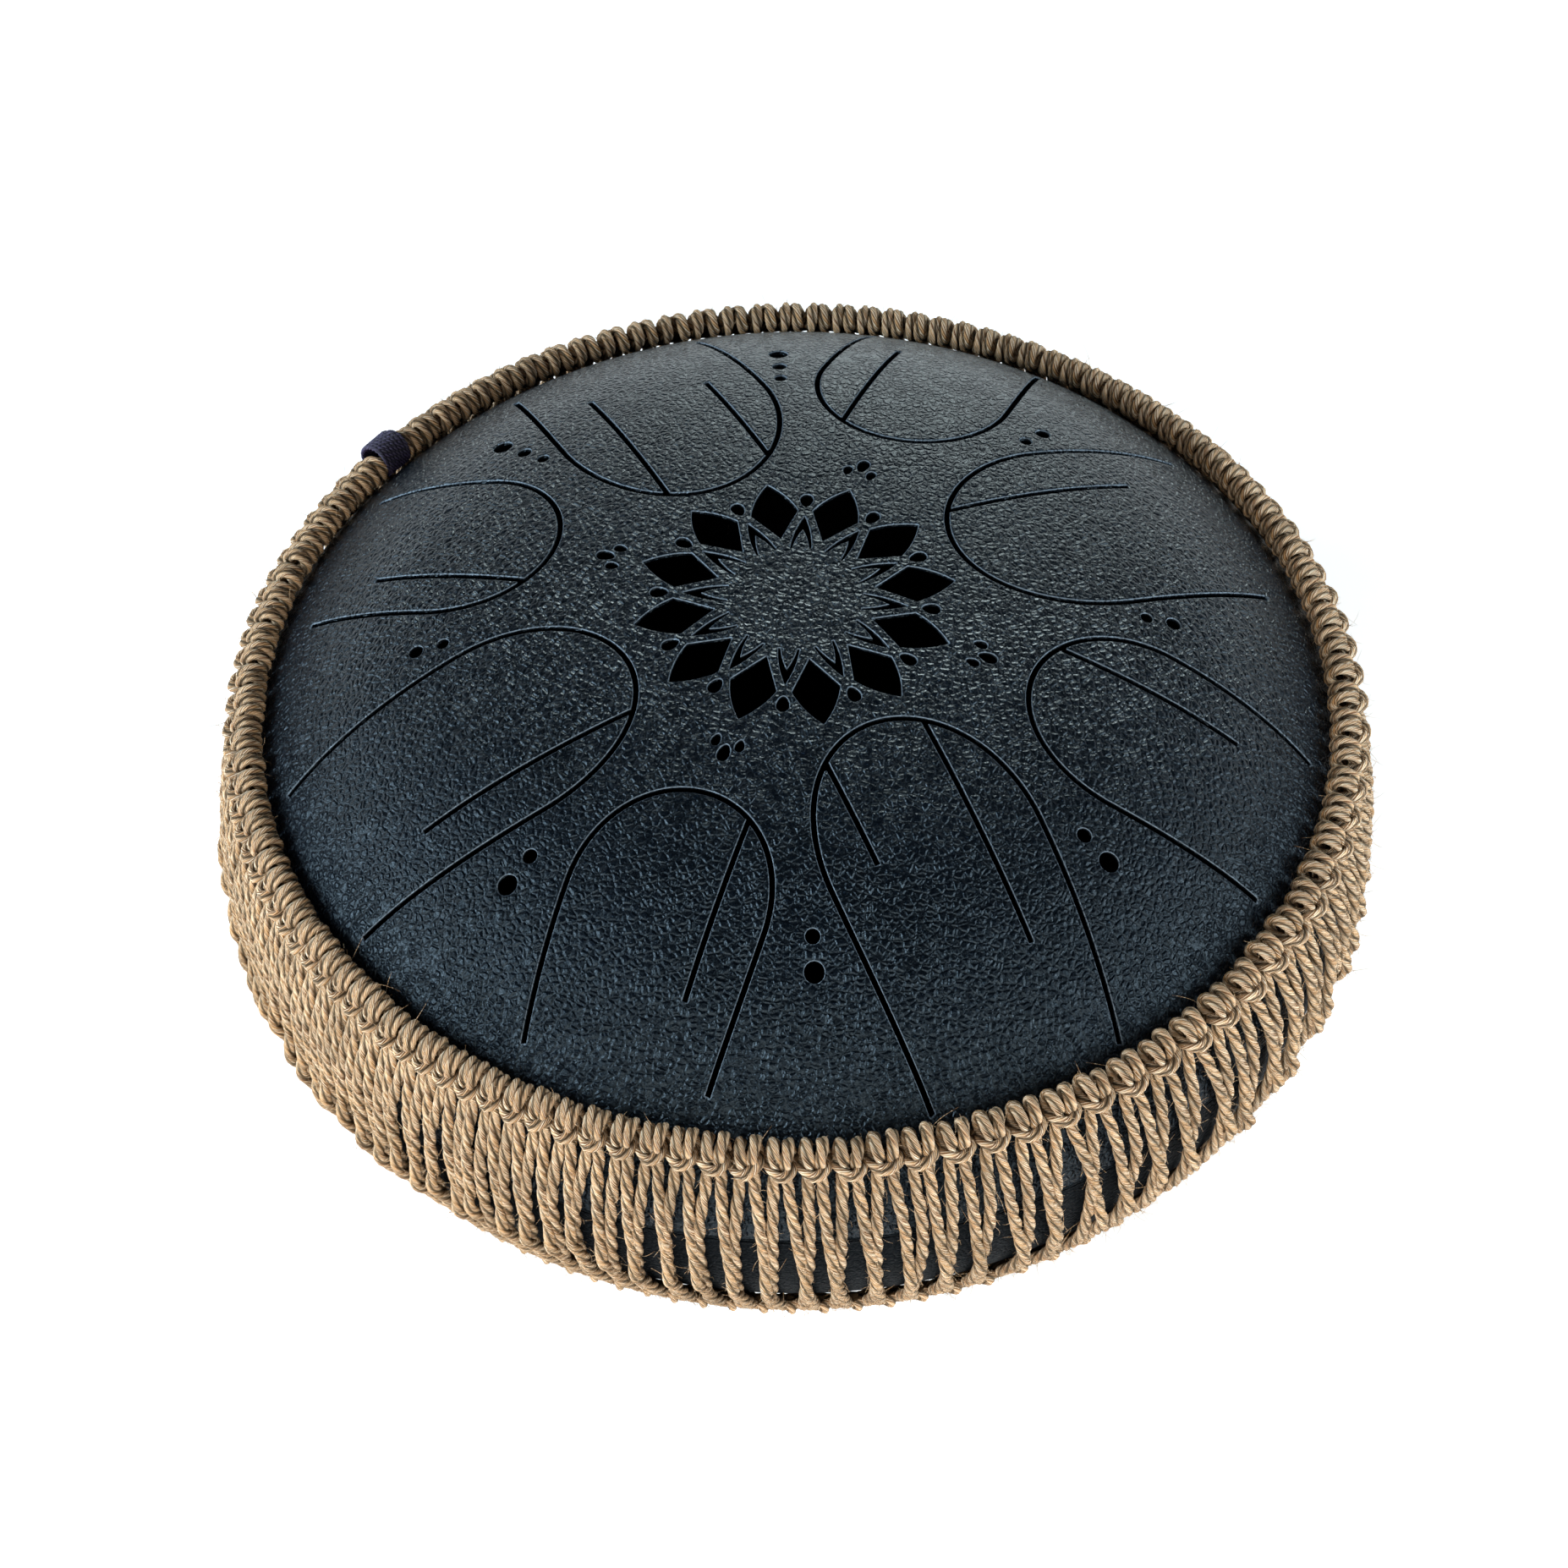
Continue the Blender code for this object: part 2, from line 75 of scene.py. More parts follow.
# A tongue's tip and widest place are measured from the drum's axis, its root from the rim.
# octave_slits holds (offset from the tongue's axis, where the slit ends from the drum's axis).
Tongue = namedtuple("Tongue", "tip widest half_width root_half_width rim_to_root octave_slits")
TONGUES = [
    Tongue(0.0616, 0.1110, 0.0389, 0.0357, 0.0326, [(0.0174, 0.1389)]),
    Tongue(0.0888, 0.1258, 0.0348, 0.0318, 0.0252, [(0.0157, 0.1539)]),
    Tongue(0.0605, 0.1110, 0.0392, 0.0364, 0.0359, [(0.0181, 0.1367), (-0.0218, 0.1230)]),
    Tongue(0.0892, 0.1258, 0.0329, 0.0315, 0.0292, [(0.0161, 0.1515)]),
    Tongue(0.0625, 0.1110, 0.0377, 0.0346, 0.0226, [(0.0191, 0.1473)]),
    Tongue(0.0860, 0.1258, 0.0348, 0.0326, 0.0254, [(0.0168, 0.1530)]),
    Tongue(0.0601, 0.1110, 0.0383, 0.0346, 0.0194, [(0.0171, 0.1484), (-0.0204, 0.1086)]),
    Tongue(0.0862, 0.1258, 0.0348, 0.0320, 0.0218, [(0.0157, 0.1556)]),
]

# Rows of dots between the tongues: (distance from the axis, hole radius), and which rows each gap has.
DOT_ROWS = {"A": (0.1423, 0.0035), "B": (0.1312, 0.0026), "C": (0.1217, 0.0022)}
DOTS_IN_GAPS = ["BC", "BC", "ABC", "ABC", "BC", "AB", "AB", "AB"]

# A trefoil of three drops stands in front of each short tongue: (distance, side angle, half width, half length).
TREFOIL = [(0.0699, 0.0, 0.0022, 0.00345), (0.0660, 3.7, 0.0017, 0.0025), (0.0660, -3.7, 0.0017, 0.0025)]

LOTUS_PETALS = 12
LOTUS_PHASE = 9.39
PETAL_TIP = 0.0560
PETAL_SHOULDER = 0.0410
PETAL_HALF_WIDTH = 0.0084
PETAL_FOOT = 0.0279
PETAL_BULGE = 0.0011
INNER_PETAL_APEX = 0.0390
INNER_PETAL_NOTCH = 0.0323
INNER_PETAL_FOOT = 0.0232
INNER_PETAL_HALF_WIDTH = 0.0037
INNER_PETAL_ARM = 0.0008
INNER_PETAL_BULGE = 0.0008
LOTUS_DROP = (0.0469, 0.0, 0.0023, 0.0033)

WELD_Z = 0.106

# ---------------------------------------------------------------- fineness of the meshes
ARCH_STEPS = 128            # along a tongue's round end
EDGE_STEPS = 14             # along a petal's edge
DOT_STEPS = 18
CUT_STEP = 0.0013           # longest step along a straight cut
PLAN_STEP = 0.0033          # sheet points away from the cuts
UNDER_STEP = 0.0070
PLAN_RADIUS = 0.1845        # the plan's grid ends here and rings carry on to the rim
RING_SIDES = 240
RIM_RINGS = 14
BOWL_RINGS = 44
BOWL_CREEP = 1.15           # above 1 the bowl's rings crowd towards its middle
BEAD_SIDES = 960
FOOT_SIDES = 48
FOOT_BEND_STEPS = 7
CARRIER_STATIONS = 900
CORD_SIDES = 15
CORD_STEP = 0.0014          # distance between a cord's sections

# Cut edges: distance from the cut and how far the coat stands above the dome there.
CUT_EDGE_LIFT = -0.00026
CUT_ROWS = [(0.00026, -0.00002), (0.00075, 0.00006)]
CUT_WALL_SHARE = 0.35       # depth of the wall's extra row of points
SHELL_SHARP = math.radians(62)

WELD_POOLS = 190            # overlapping pools of the weld round the rim

# A foot's sole edge and top lip are rounded; the recess is (share of the foot's radius, millimetres off the floor).
FOOT_EDGE = 1.5 * MM
FOOT_LIP = 0.7 * MM
FOOT_RECESS = [(0.30, 0.60), (0.52, 0.60), (0.58, 0.45), (0.64, 0.0)]
FOOT_TOP_SHARES = (0.66, 0.33)

# ---------------------------------------------------------------- the net
# (azimuth, degrees between knots); the knots were pushed apart and together.
KNOT_PITCH = [(-125, 2.6), (-90, 3.3), (-45, 4.2), (0, 3.8), (50, 2.7), (80, 2.7), (105, 3.6), (130, 2.8),
              (175, 3.0), (215, 2.4)]
FIRST_KNOT = -88.8
KNOT_FILL = 0.465           # half of a knot's width over the pitch
KNOT_HALF_WIDTH = 5.4 * MM  # the widest half of a knot
HITCH_INSET = 1.9 * MM      # from a knot's outline to the line of its cord
LAY = 0.026                 # length of one turn of the cord's plies
SEED = 11

# Right half of a hitch: (share of the half width, down and out from the carrier cord, in millimetres).
# It runs from the middle of the front bar, round behind the carrier, over it and down behind the bar.
HITCH = [(0.00, 5.3, 4.2), (0.55, 4.9, 4.1), (1.04, 3.8, 3.0), (1.30, 2.9, 0.8), (1.16, 1.9, -2.2),
         (0.98, -0.8, -3.5), (0.86, -2.8, -2.5), (0.82, -4.0, 0.0), (0.76, -3.2, 2.5), (0.68, -0.8, 3.7),
         (0.57, 1.6, 3.2), (0.50, 3.6, 1.2), (0.55, 5.8, -0.8), (0.68, 8.2, -2.3)]
LEG_START = 11.0 * MM       # where a leg leaves its hitch, down from the carrier
LEG_CROSSING = 0.58         # share of the way down where two legs cross
LEG_SHARES = (0.04, 0.18, 0.32, 0.45, 0.52, 0.58, 0.64, 0.72, 0.84, 0.95)
LEG_LIFT = 3.3 * MM         # of a right leg over the left leg that it crosses
LEG_PRESS = -0.5 * MM       # of the left leg under it
LEG_STAGGER = 0.3 * MM      # between the two legs at their hitch
CROSSING_SPREAD = 0.085     # share of the way over which a leg climbs
LEG_FOOT = 4.0 * MM         # where a leg's straight run ends, up from the bottom carrier
RIGHT_LEG = (0.20, 1.00)    # where a leg starts and ends, in pitches from its knot
LEFT_LEG = (-0.22, -0.40)
BOTTOM_KNOT = 0.80          # middle of a bottom knot, in pitches from its top knot

# A leg's end goes over the front of the bottom carrier, under it and up behind it: (pitches from the leg's end,
# down and out from the carrier, in millimetres).
LEG_TAIL = [(-0.03, -1.5, -0.4), (-0.05, 0.8, -0.2), (-0.06, 2.2, -0.8), (-0.06, 2.0, -1.7), (-0.06, 0.4, -2.0)]

# A bottom scallop: (pitches from the bottom knot, down and out from the carrier cord, in millimetres).
SCALLOP = [(-0.62, -2.4, -1.9), (-0.58, -1.2, -1.6), (-0.44, 0.6, -0.9), (-0.22, 2.0, -0.4), (0.05, 2.5, -0.2),
           (0.30, 1.8, 0.2), (0.48, 0.0, 0.7), (0.56, -1.8, 0.6), (0.53, -3.0, -0.6), (0.46, -3.4, -1.8)]
SCALLOP_RADIUS = CORD_RADIUS * 1.05

# How unevenly the net is tied: standard deviations of its seeded scatter.
KNOT_WIDTH_SCATTER = 0.02   # shares of a width or drop
HITCH_SCATTER = 0.05
SCALLOP_SCATTER = 0.06
HITCH_SLACK = 0.25 * MM
SCALLOP_SLACK = 0.2 * MM
HITCH_TILT = 0.10           # drop over width
CROSSING_SCATTER = 0.055    # share of the way down
LEG_SWAY = 0.095            # pitches, in one bow down the leg
LEG_CURL = 0.05             # pitches, in an S down the leg
SCALLOP_SHIFT = 0.03        # pitches
CORD_UNEVENNESS = 0.07      # share of a cord's radius

# The knots press the two carrier ropes towards the shell, and the top one also slips down a little.
TOP_ROPE_SLIP = 2.2 * MM
TOP_ROPE_PRESS = 2.6 * MM
BOTTOM_ROPE_PRESS = 2.0 * MM

# The black whipping: a helix of thin cord.
TIE_TURNS = 8
TIE_RADIUS = 6.4 * MM
TIE_WIDTH = 12.0 * MM
TIE_LIFT = 1.6 * MM         # of the helix's axis off the carrier's
TIE_CORD_RADIUS = 0.95 * MM
TIE_CORD_SIDES = 12
TIE_LAY = 0.0052
TIE_STEP = 0.7 * MM

# Stray fibres: how many per metre of cord, their range of length, points along each and half thickness.
STRAY_FIBRES = [(80, (3.0 * MM, 7.5 * MM), 6, 0.10 * MM), (330, (1.2 * MM, 3.2 * MM), 3, 0.10 * MM)]

# ---------------------------------------------------------------- stage
FLOOR_HALF = 4.0
FLOOR_GLOW = 0.45
SKY_HORIZON = (0.72, 0.82, 0.90, 1.0)
SKY_OVERHEAD = (0.020, 0.030, 0.045, 1.0)
SKY_FADE = (0.0, 0.50)      # heights of the direction of view between which the sky darkens

# Square lights: (name, place, the point it is turned to, side, watts, tint).
SOFTBOXES = [
    ("left_softbox", (-1.75, -0.15, 0.70), (0, 0, 0.12), 0.8, 50, (0.78, 0.91, 1.0)),
    ("right_softbox", (1.8, -0.4, 0.55), (0, 0, 0.12), 1.0, 38, (0.86, 0.95, 1.0)),
    ("back_softbox", (0.25, 2.0, 0.52), (0, 0, 0.12), 0.5, 15, (0.88, 1.0, 0.97)),
    ("front_softbox", (-0.25, -2.3, 0.75), (0, 0, 0.08), 2.0, 68, (1.0, 0.94, 0.86)),
]

# The camera stands 1.9 m away, 50 degrees above the floor, and is rolled by 0.7 degrees.
CAMERA_PLACE = (-0.00452, -1.16105, 1.49867)
CAMERA_RIGHT = (0.99992596, -0.0093529, -0.0077841)
CAMERA_UP = (0.01216836, 0.76856794, 0.63965245)
CAMERA_BACK = (0.0, -0.63969981, 0.76862485)
CAMERA_LENS, CAMERA_SENSOR = 116.5, 36.0
CAMERA_CLIP = (0.05, 50.0)


# ---------------------------------------------------------------- meshes from arrays
def grid_faces(rows, sides):
    """Corner numbers of the quads between rings of points, which are counted ring by ring."""
    near = np.arange(sides)
    far = (near + 1) % sides
    base = np.arange(rows - 1)[:, None] * sides
    return np.stack((base + near, base + sides + near, base + sides + far, base + far), -1).reshape(-1, 4)


def capped_faces(rows, sides):
    """Faces of a closed surface of rings, whose points are followed by the poles of its first and last ring."""
    here = np.arange(sides)
    there = (here + 1) % sides
    first_pole, last = np.full(sides, rows * sides), (rows - 1) * sides
    return [grid_faces(rows, sides), np.column_stack((first_pole, here, there)),
            np.column_stack((last + here, first_pole + 1, last + there))]


def around(sides):
    """Even angles of a full turn."""
    return TAU * np.arange(sides) / sides


def round_axis(radius, azimuth, height):
    """Points at distances from the drum's axis, azimuths in radians and heights, spread over one another."""
    return np.stack(np.broadcast_arrays(radius * np.cos(azimuth), radius * np.sin(azimuth), height), -1)


def make_mesh(name, points, face_sets, maps=None):
    """A smooth mesh from points (n, 3) and sets of faces of one corner count each; maps are UVs per face corner."""
    mesh = bpy.data.meshes.new(name)
    face_sets = [np.asarray(faces, np.int32) for faces in face_sets if len(faces)]
    corners = np.concatenate([faces.ravel() for faces in face_sets])
    sizes = np.concatenate([np.full(len(faces), faces.shape[1], np.int32) for faces in face_sets])
    mesh.vertices.add(len(points))
    mesh.vertices.foreach_set("co", np.ascontiguousarray(points, np.float32).ravel())
    mesh.loops.add(len(corners))
    mesh.loops.foreach_set("vertex_index", corners)
    mesh.polygons.add(len(sizes))
    mesh.polygons.foreach_set("loop_start", np.concatenate(([0], np.cumsum(sizes)[:-1])).astype(np.int32))
    if maps is not None:
        layer = mesh.uv_layers.new(name="cord")
        layer.data.foreach_set("uv", np.concatenate([m.reshape(-1, 2) for m in maps]).astype(np.float32).ravel())
    mesh.update(calc_edges=True)
    mesh.shade_smooth()
    return mesh


def make_piece(name, mesh, finish, slot, *nodes):
    """Puts a finished mesh on the frame in place of its CAD nodes."""
    piece = bpy.data.objects.new(name, mesh)
    mesh.materials.append(finish)
    bpy.context.scene.collection.objects.link(piece)
    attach(piece, "root")
    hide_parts(*nodes)
    return piece


# ---------------------------------------------------------------- surfaces of the two shells
def on_dome(plan, lift=0.0):
    """Points of the dome over plan points: height = H * sqrt(1 - (r / R) ^ power), moved along the normal by lift."""
    radius = np.hypot(plan[:, 0], plan[:, 1])
    outwards = radius / SHELL_RADIUS
    share = np.clip(1 - outwards ** DOME_POWER, 1e-9, 1)
    steepness = DOME_HEIGHT * DOME_POWER / 2 * outwards ** (DOME_POWER - 1) / SHELL_RADIUS / np.sqrt(share)
    up = 1 / np.hypot(1, steepness)
    outward = plan / np.maximum(radius, 1e-9)[:, None] * (steepness * up)[:, None]
    lift = np.broadcast_to(lift, radius.shape)
    return np.column_stack((plan + outward * lift[:, None], WELD_Z + DOME_HEIGHT * np.sqrt(share) + up * lift))


def bowl_profile(angle):
    """Radius and height of the bowl: r = R * sin(angle) ^ (2 / power), depth = D * cos(angle) ^ (2 / power)."""
    return (SHELL_RADIUS * np.sin(angle) ** (2 / BOWL_POWER),
            WELD_Z - BOWL_DEPTH * np.cos(angle) ** (2 / BOWL_POWER))


def bowl_height(radius):
    """Height of the bowl's outside over the floor at a distance from the axis."""
    return WELD_Z - BOWL_DEPTH * (1 - (radius / SHELL_RADIUS) ** BOWL_POWER) ** (1 / BOWL_POWER)


def shell_radius(rise):
    """Outer radius of the shells at a height over the weld."""
    over, under = np.clip(rise, 0, None) / DOME_HEIGHT, np.clip(-rise, 0, None) / BOWL_DEPTH
    return SHELL_RADIUS * np.where(rise >= 0, (1 - over ** 2) ** (1 / DOME_POWER),
                                   (1 - under ** BOWL_POWER) ** (1 / BOWL_POWER))


# The meridian that the net lies on, from 60 mm over the weld to 93.5 mm under it, as a table over the distance
# run down from the top carrier cord.
meridian_rise = np.linspace(0.060, -0.0935, 1600)
meridian_radius = shell_radius(meridian_rise)
meridian_steps = np.hypot(np.diff(meridian_radius), np.diff(meridian_rise))
meridian_run = np.concatenate(([0.0], np.cumsum(meridian_steps)))
meridian_run -= np.interp(-TOP_RING_RISE, -meridian_rise, meridian_run)
meridian_out = -np.gradient(meridian_rise, meridian_run)
meridian_up = np.gradient(meridian_radius, meridian_run)
NET_RUN = float(np.interp(BOTTOM_RING_DROP, -meridian_rise, meridian_run))
CARRIER_OFF = KNOT_RADIUS + GAP
BOTTOM_OFF = BOTTOM_KNOT_RADIUS + GAP
CARRIER_RUN_RADIUS = float(np.interp(0.0, meridian_run, meridian_radius))


def on_net(azimuth, down, off):
    """Points at an azimuth in radians, a distance down the meridian and a distance off the shells."""
    radius = np.interp(down, meridian_run, meridian_radius) + off * np.interp(down, meridian_run, meridian_out)
    height = (WELD_Z + np.interp(down, meridian_run, meridian_rise)
              + off * np.interp(down, meridian_run, meridian_up))
    return round_axis(radius, azimuth, height)


# ---------------------------------------------------------------- outlines of the cuts, in the plan
def placed(outline, azimuth):
    """Turns an outline of (outward, sideways) points to an azimuth in degrees."""
    c, s = math.cos(math.radians(azimuth)), math.sin(math.radians(azimuth))
    return np.asarray(outline) @ np.array([[c, s], [-s, c]])


def refined(outline):
    """Splits a closed outline's long edges into steps no longer than CUT_STEP."""
    parts = []
    for start, end in zip(outline, np.roll(outline, -1, axis=0)):
        steps = max(1, math.ceil(math.dist(start, end) / CUT_STEP))
        parts.append(start + (end - start) * (np.arange(steps) / steps)[:, None])
    return np.concatenate(parts)


def bowed(start, end, bulge):
    """Points from start up to but not including end, on a parabola bowed to the left by bulge at the middle."""
    start, end = np.array(start), np.array(end)
    along = end - start
    side = np.array([-along[1], along[0]]) / np.hypot(*along)
    t = (np.arange(EDGE_STEPS) / EDGE_STEPS)[:, None]
    return start + along * t + side * (4 * bulge * t * (1 - t))


def slit_sides(tongue):
    """Outer and inner edge of a tongue's slit, each from root to root.

    The middle line is half an ellipse round the tip. Its sides run straight to the root and draw in with
    the square of the distance, down to the root's half width. The edges stand half the slit's width off it.
    """
    root = SHELL_RADIUS - tongue.rim_to_root
    turn = math.pi * np.arange(ARCH_STEPS + 1) / ARCH_STEPS
    arch = np.column_stack((tongue.widest - (tongue.widest - tongue.tip) * np.sin(turn),
                            -tongue.half_width * np.cos(turn)))
    steps = math.ceil((root - tongue.widest) / CUT_STEP)
    t = np.arange(steps, 0, -1) / steps
    width = tongue.half_width - (tongue.half_width - tongue.root_half_width) * t ** 2
    side = np.column_stack((tongue.widest + (root - tongue.widest) * t, -width))
    path = np.concatenate((side, arch, (side * (1, -1))[::-1]))
    along = np.gradient(path, axis=0)
    across = np.column_stack((-along[:, 1], along[:, 0])) / np.hypot(*along.T)[:, None] * SLIT_WIDTH / 2
    return path + across, path - across


def tongue_outline(tongue):
    """The slit round a tongue, with its octave slits branching off the inner edge."""
    outer, inner = slit_sides(tongue)
    for offset, end in tongue.octave_slits:
        round_end = inner[:, 0] < tongue.widest
        low, high = offset - SLIT_WIDTH / 2, offset + SLIT_WIDTH / 2
        before = inner[: np.argmax(round_end & (inner[:, 1] > low))]
        after = inner[np.argmax(round_end & (inner[:, 1] > high)):]
        inner = np.concatenate((before, [(before[-1, 0], low), (end, low), (end, high), (after[0, 0], high)], after))
    return np.concatenate((outer, inner[::-1]))


def drop(distance, side_angle, half_width, half_length):
    """An egg with its narrow end towards the drum's axis: an ellipse whose width grows by 22 % outwards."""
    angle = TAU * (np.arange(DOT_STEPS) + 0.5) / DOT_STEPS
    fullness = 1 + 0.22 * np.cos(angle)
    return placed(np.column_stack((distance + half_length * np.cos(angle),
                                   half_width * np.sin(angle) * fullness)), side_angle)


def petal_window():
    """A leaf with a pointed tip, two shoulders and a pointed foot."""
    tip, foot = (PETAL_TIP, 0.0), (PETAL_FOOT, 0.0)
    left, right = (PETAL_SHOULDER, PETAL_HALF_WIDTH), (PETAL_SHOULDER, -PETAL_HALF_WIDTH)
    return np.concatenate((bowed(tip, left, -PETAL_BULGE), bowed(left, foot, 0.0), bowed(foot, right, 0.0),
                           bowed(right, tip, -PETAL_BULGE)))


def inner_petal_slot():
    """A chevron that outlines an inner petal, its point outwards."""
    side, inside = INNER_PETAL_HALF_WIDTH, INNER_PETAL_HALF_WIDTH - INNER_PETAL_ARM
    apex, notch = (INNER_PETAL_APEX, 0.0), (INNER_PETAL_NOTCH, 0.0)
    left, right = (INNER_PETAL_FOOT, side), (INNER_PETAL_FOOT, -side)
    left_in, right_in = (INNER_PETAL_FOOT, inside), (INNER_PETAL_FOOT, -inside)
    return np.concatenate((bowed(apex, left, -INNER_PETAL_BULGE), [left],
                           bowed(left_in, notch, INNER_PETAL_BULGE / 2),
                           bowed(notch, right_in, INNER_PETAL_BULGE / 2), [right_in],
                           bowed(right, apex, -INNER_PETAL_BULGE)))


def cut_outlines():
    """Every cut of the playing shell as a closed outline, anticlockwise in the plan."""
    outlines = [placed(tongue_outline(tongue), TONGUE_PHASE + TONGUE_PITCH * i) for i, tongue in enumerate(TONGUES)]
    turn = around(DOT_STEPS)
    for i, rows in enumerate(DOTS_IN_GAPS):
        for distance, radius in (DOT_ROWS[row] for row in rows):
            circle = np.column_stack((distance + radius * np.cos(turn), radius * np.sin(turn)))
            outlines.append(placed(circle, TONGUE_PHASE + TONGUE_PITCH * (i - 0.5)))
    for i in range(len(TONGUES) // 2):
        outlines += [placed(drop(*leaf), TONGUE_PHASE + TONGUE_PITCH * (2 * i + 1)) for leaf in TREFOIL]
    pitch = 360 / LOTUS_PETALS
    for i in range(LOTUS_PETALS):
        outlines.append(placed(petal_window(), LOTUS_PHASE + pitch * i))
        outlines.append(placed(inner_petal_slot(), LOTUS_PHASE + pitch * (i + 0.5)))
        outlines.append(placed(drop(*LOTUS_DROP), LOTUS_PHASE + pitch * (i + 0.5)))
    finished = []
    for outline in map(refined, outlines):
        x, y = outline.T
        area = np.sum(x * np.roll(y, -1) - y * np.roll(x, -1))
        finished.append(outline if area > 0 else outline[::-1])
    return finished


# ---------------------------------------------------------------- the shells
def nearest_distance(points, others, batch=1500):
    """Distance from each point to the nearest of the others, by |a - b|^2 = |a|^2 + |b|^2 - 2 a.b."""
    squares = np.sum(others ** 2, 1)
    found = [np.min(np.sum(part ** 2, 1)[:, None] + squares - 2 * part @ others.T, axis=1)
             for part in np.array_split(points, max(1, len(points) // batch))]
    return np.sqrt(np.maximum(np.concatenate(found), 0))


def beside(outline, distance):
    """Points a distance outside an anticlockwise outline, one for each of its points."""
    along = np.roll(outline, -1, axis=0) - outline
    side = np.column_stack((along[:, 1], -along[:, 0])) / np.hypot(*along.T)[:, None]
    side = side + np.roll(side, 1, axis=0)
    return outline + side / np.hypot(*side.T)[:, None] * distance


def cut_plan(outlines, step, rows):
    """Triangulates the plan of the playing shell round its cuts.

    The points are the rim circle, the outlines, the rows beside them and a hexagonal lattice. Returns the
    points, their lift, the triangles outside the cuts and the first point of the outlines.
    """
    turn = around(RING_SIDES)
    rim = PLAN_RADIUS * np.column_stack((np.cos(turn), np.sin(turn)))
    cuts = np.concatenate(outlines)
    points, lifts = [rim, cuts], [np.zeros(len(rim)), np.full(len(cuts), CUT_EDGE_LIFT)]
    for distance, lift in rows:
        row = np.concatenate([beside(outline, distance) for outline in outlines])
        row = row[nearest_distance(row, cuts) > distance * 0.93]
        points.append(row)
        lifts.append(np.full(len(row), lift))
    count = int(PLAN_RADIUS / step) + 2
    i, j = (a.ravel() for a in np.meshgrid(np.arange(-count, count + 1), np.arange(-count * 2, count * 2 + 1)))
    lattice = np.column_stack((step * (i + (j % 2) * 0.5), step * math.sqrt(0.75) * j))
    lattice = lattice[np.hypot(*lattice.T) < PLAN_RADIUS - step * 0.5]
    lattice = lattice[nearest_distance(lattice, cuts) > max(step * 0.45, 0.0016)]
    points.append(lattice)
    lifts.append(np.zeros(len(lattice)))
    plan = np.concatenate(points)

    holes, start = [], len(rim)
    for outline in outlines:
        holes.append(list(range(start, start + len(outline))))
        start += len(outline)
    edge = [(k, (k + 1) % RING_SIDES) for k in range(RING_SIDES)]
    found = delaunay_2d_cdt([tuple(p) for p in plan.tolist()], edge, holes, 0, 1e-7, True)
    assert len(found[0]) == len(plan), "two cuts of the playing shell meet"
    triangles = np.array([face for face, inside in zip(found[2], found[5]) if not inside])
    return plan, np.concatenate(lifts), triangles, len(rim)


def make_playing_shell(finish):
    """Dome of sheet steel: a cut top sheet, a cut under sheet, the walls of the cuts and the rim's rings."""
    outlines = cut_outlines()
    plan, lift, top_faces, first_cut = cut_plan(outlines, PLAN_STEP, CUT_ROWS)
    under_plan, _, under_faces, _ = cut_plan(outlines, UNDER_STEP, [])
    top = on_dome(plan, lift)
    under = on_dome(under_plan, -WALL)
    counts = np.array([len(outline) for outline in outlines])
    cut_points = slice(first_cut, first_cut + counts.sum())
    wall = on_dome(plan[cut_points], CUT_EDGE_LIFT - (WALL + CUT_EDGE_LIFT) * CUT_WALL_SHARE)

    first = math.asin((PLAN_RADIUS / SHELL_RADIUS) ** (DOME_POWER / 2))
    last = math.acos(SEAM_WIDTH / 2 / DOME_HEIGHT)
    angle = first + (last - first) * np.arange(1, RIM_RINGS + 1) / RIM_RINGS
    radius = SHELL_RADIUS * np.sin(angle) ** (2 / DOME_POWER)
    turn = around(RING_SIDES)
    rings = round_axis(radius[:, None], turn, 0)[..., :2].reshape(-1, 2)
    outside = on_dome(rings)
    inside = on_dome(rings, -WALL).reshape(RIM_RINGS, RING_SIDES, 3)[::-1].reshape(-1, 3)

    points = np.concatenate((top, under, wall, outside, inside))
    under_start = len(top)
    wall_start = under_start + len(under)
    ring_start = wall_start + len(wall)
    # The rings run from the top sheet's circle over the rim and back to the under sheet's circle.
    circle = np.arange(RING_SIDES)
    rows = np.concatenate((circle[None], ring_start + np.arange(2 * RIM_RINGS * RING_SIDES).reshape(-1, RING_SIDES),
                           (under_start + circle)[None])).ravel()
    ring_faces = rows[grid_faces(2 * RIM_RINGS + 2, RING_SIDES)]

    # Each cut's wall faces into the cut; a cut's last point is followed by its first.
    here = np.arange(counts.sum())
    starts = np.repeat(np.cumsum(counts) - counts, counts)
    there = starts + (here - starts + 1) % np.repeat(counts, counts)
    edge, middle, foot = first_cut, wall_start, under_start + first_cut
    wall_faces = np.concatenate((np.column_stack((edge + here, edge + there, middle + there, middle + here)),
                                 np.column_stack((middle + here, middle + there, foot + there, foot + here))))
    mesh = make_mesh("playing_shell", points,
                     [top_faces, under_start + under_faces[:, ::-1], np.concatenate((ring_faces, wall_faces))])
    mesh.set_sharp_from_angle(angle=SHELL_SHARP)
    # The cut points are marked so that the coat is painted pale along the cuts: a painted highlight.
    painted_edge_highlight = np.zeros(len(points), np.float32)
    painted_edge_highlight[cut_points] = 1.0
    mesh.attributes.new("cut_edge", "FLOAT", "POINT").data.foreach_set("value", painted_edge_highlight)
    return make_piece("playing_shell", mesh, finish, "shell_coat", "upper_shell")


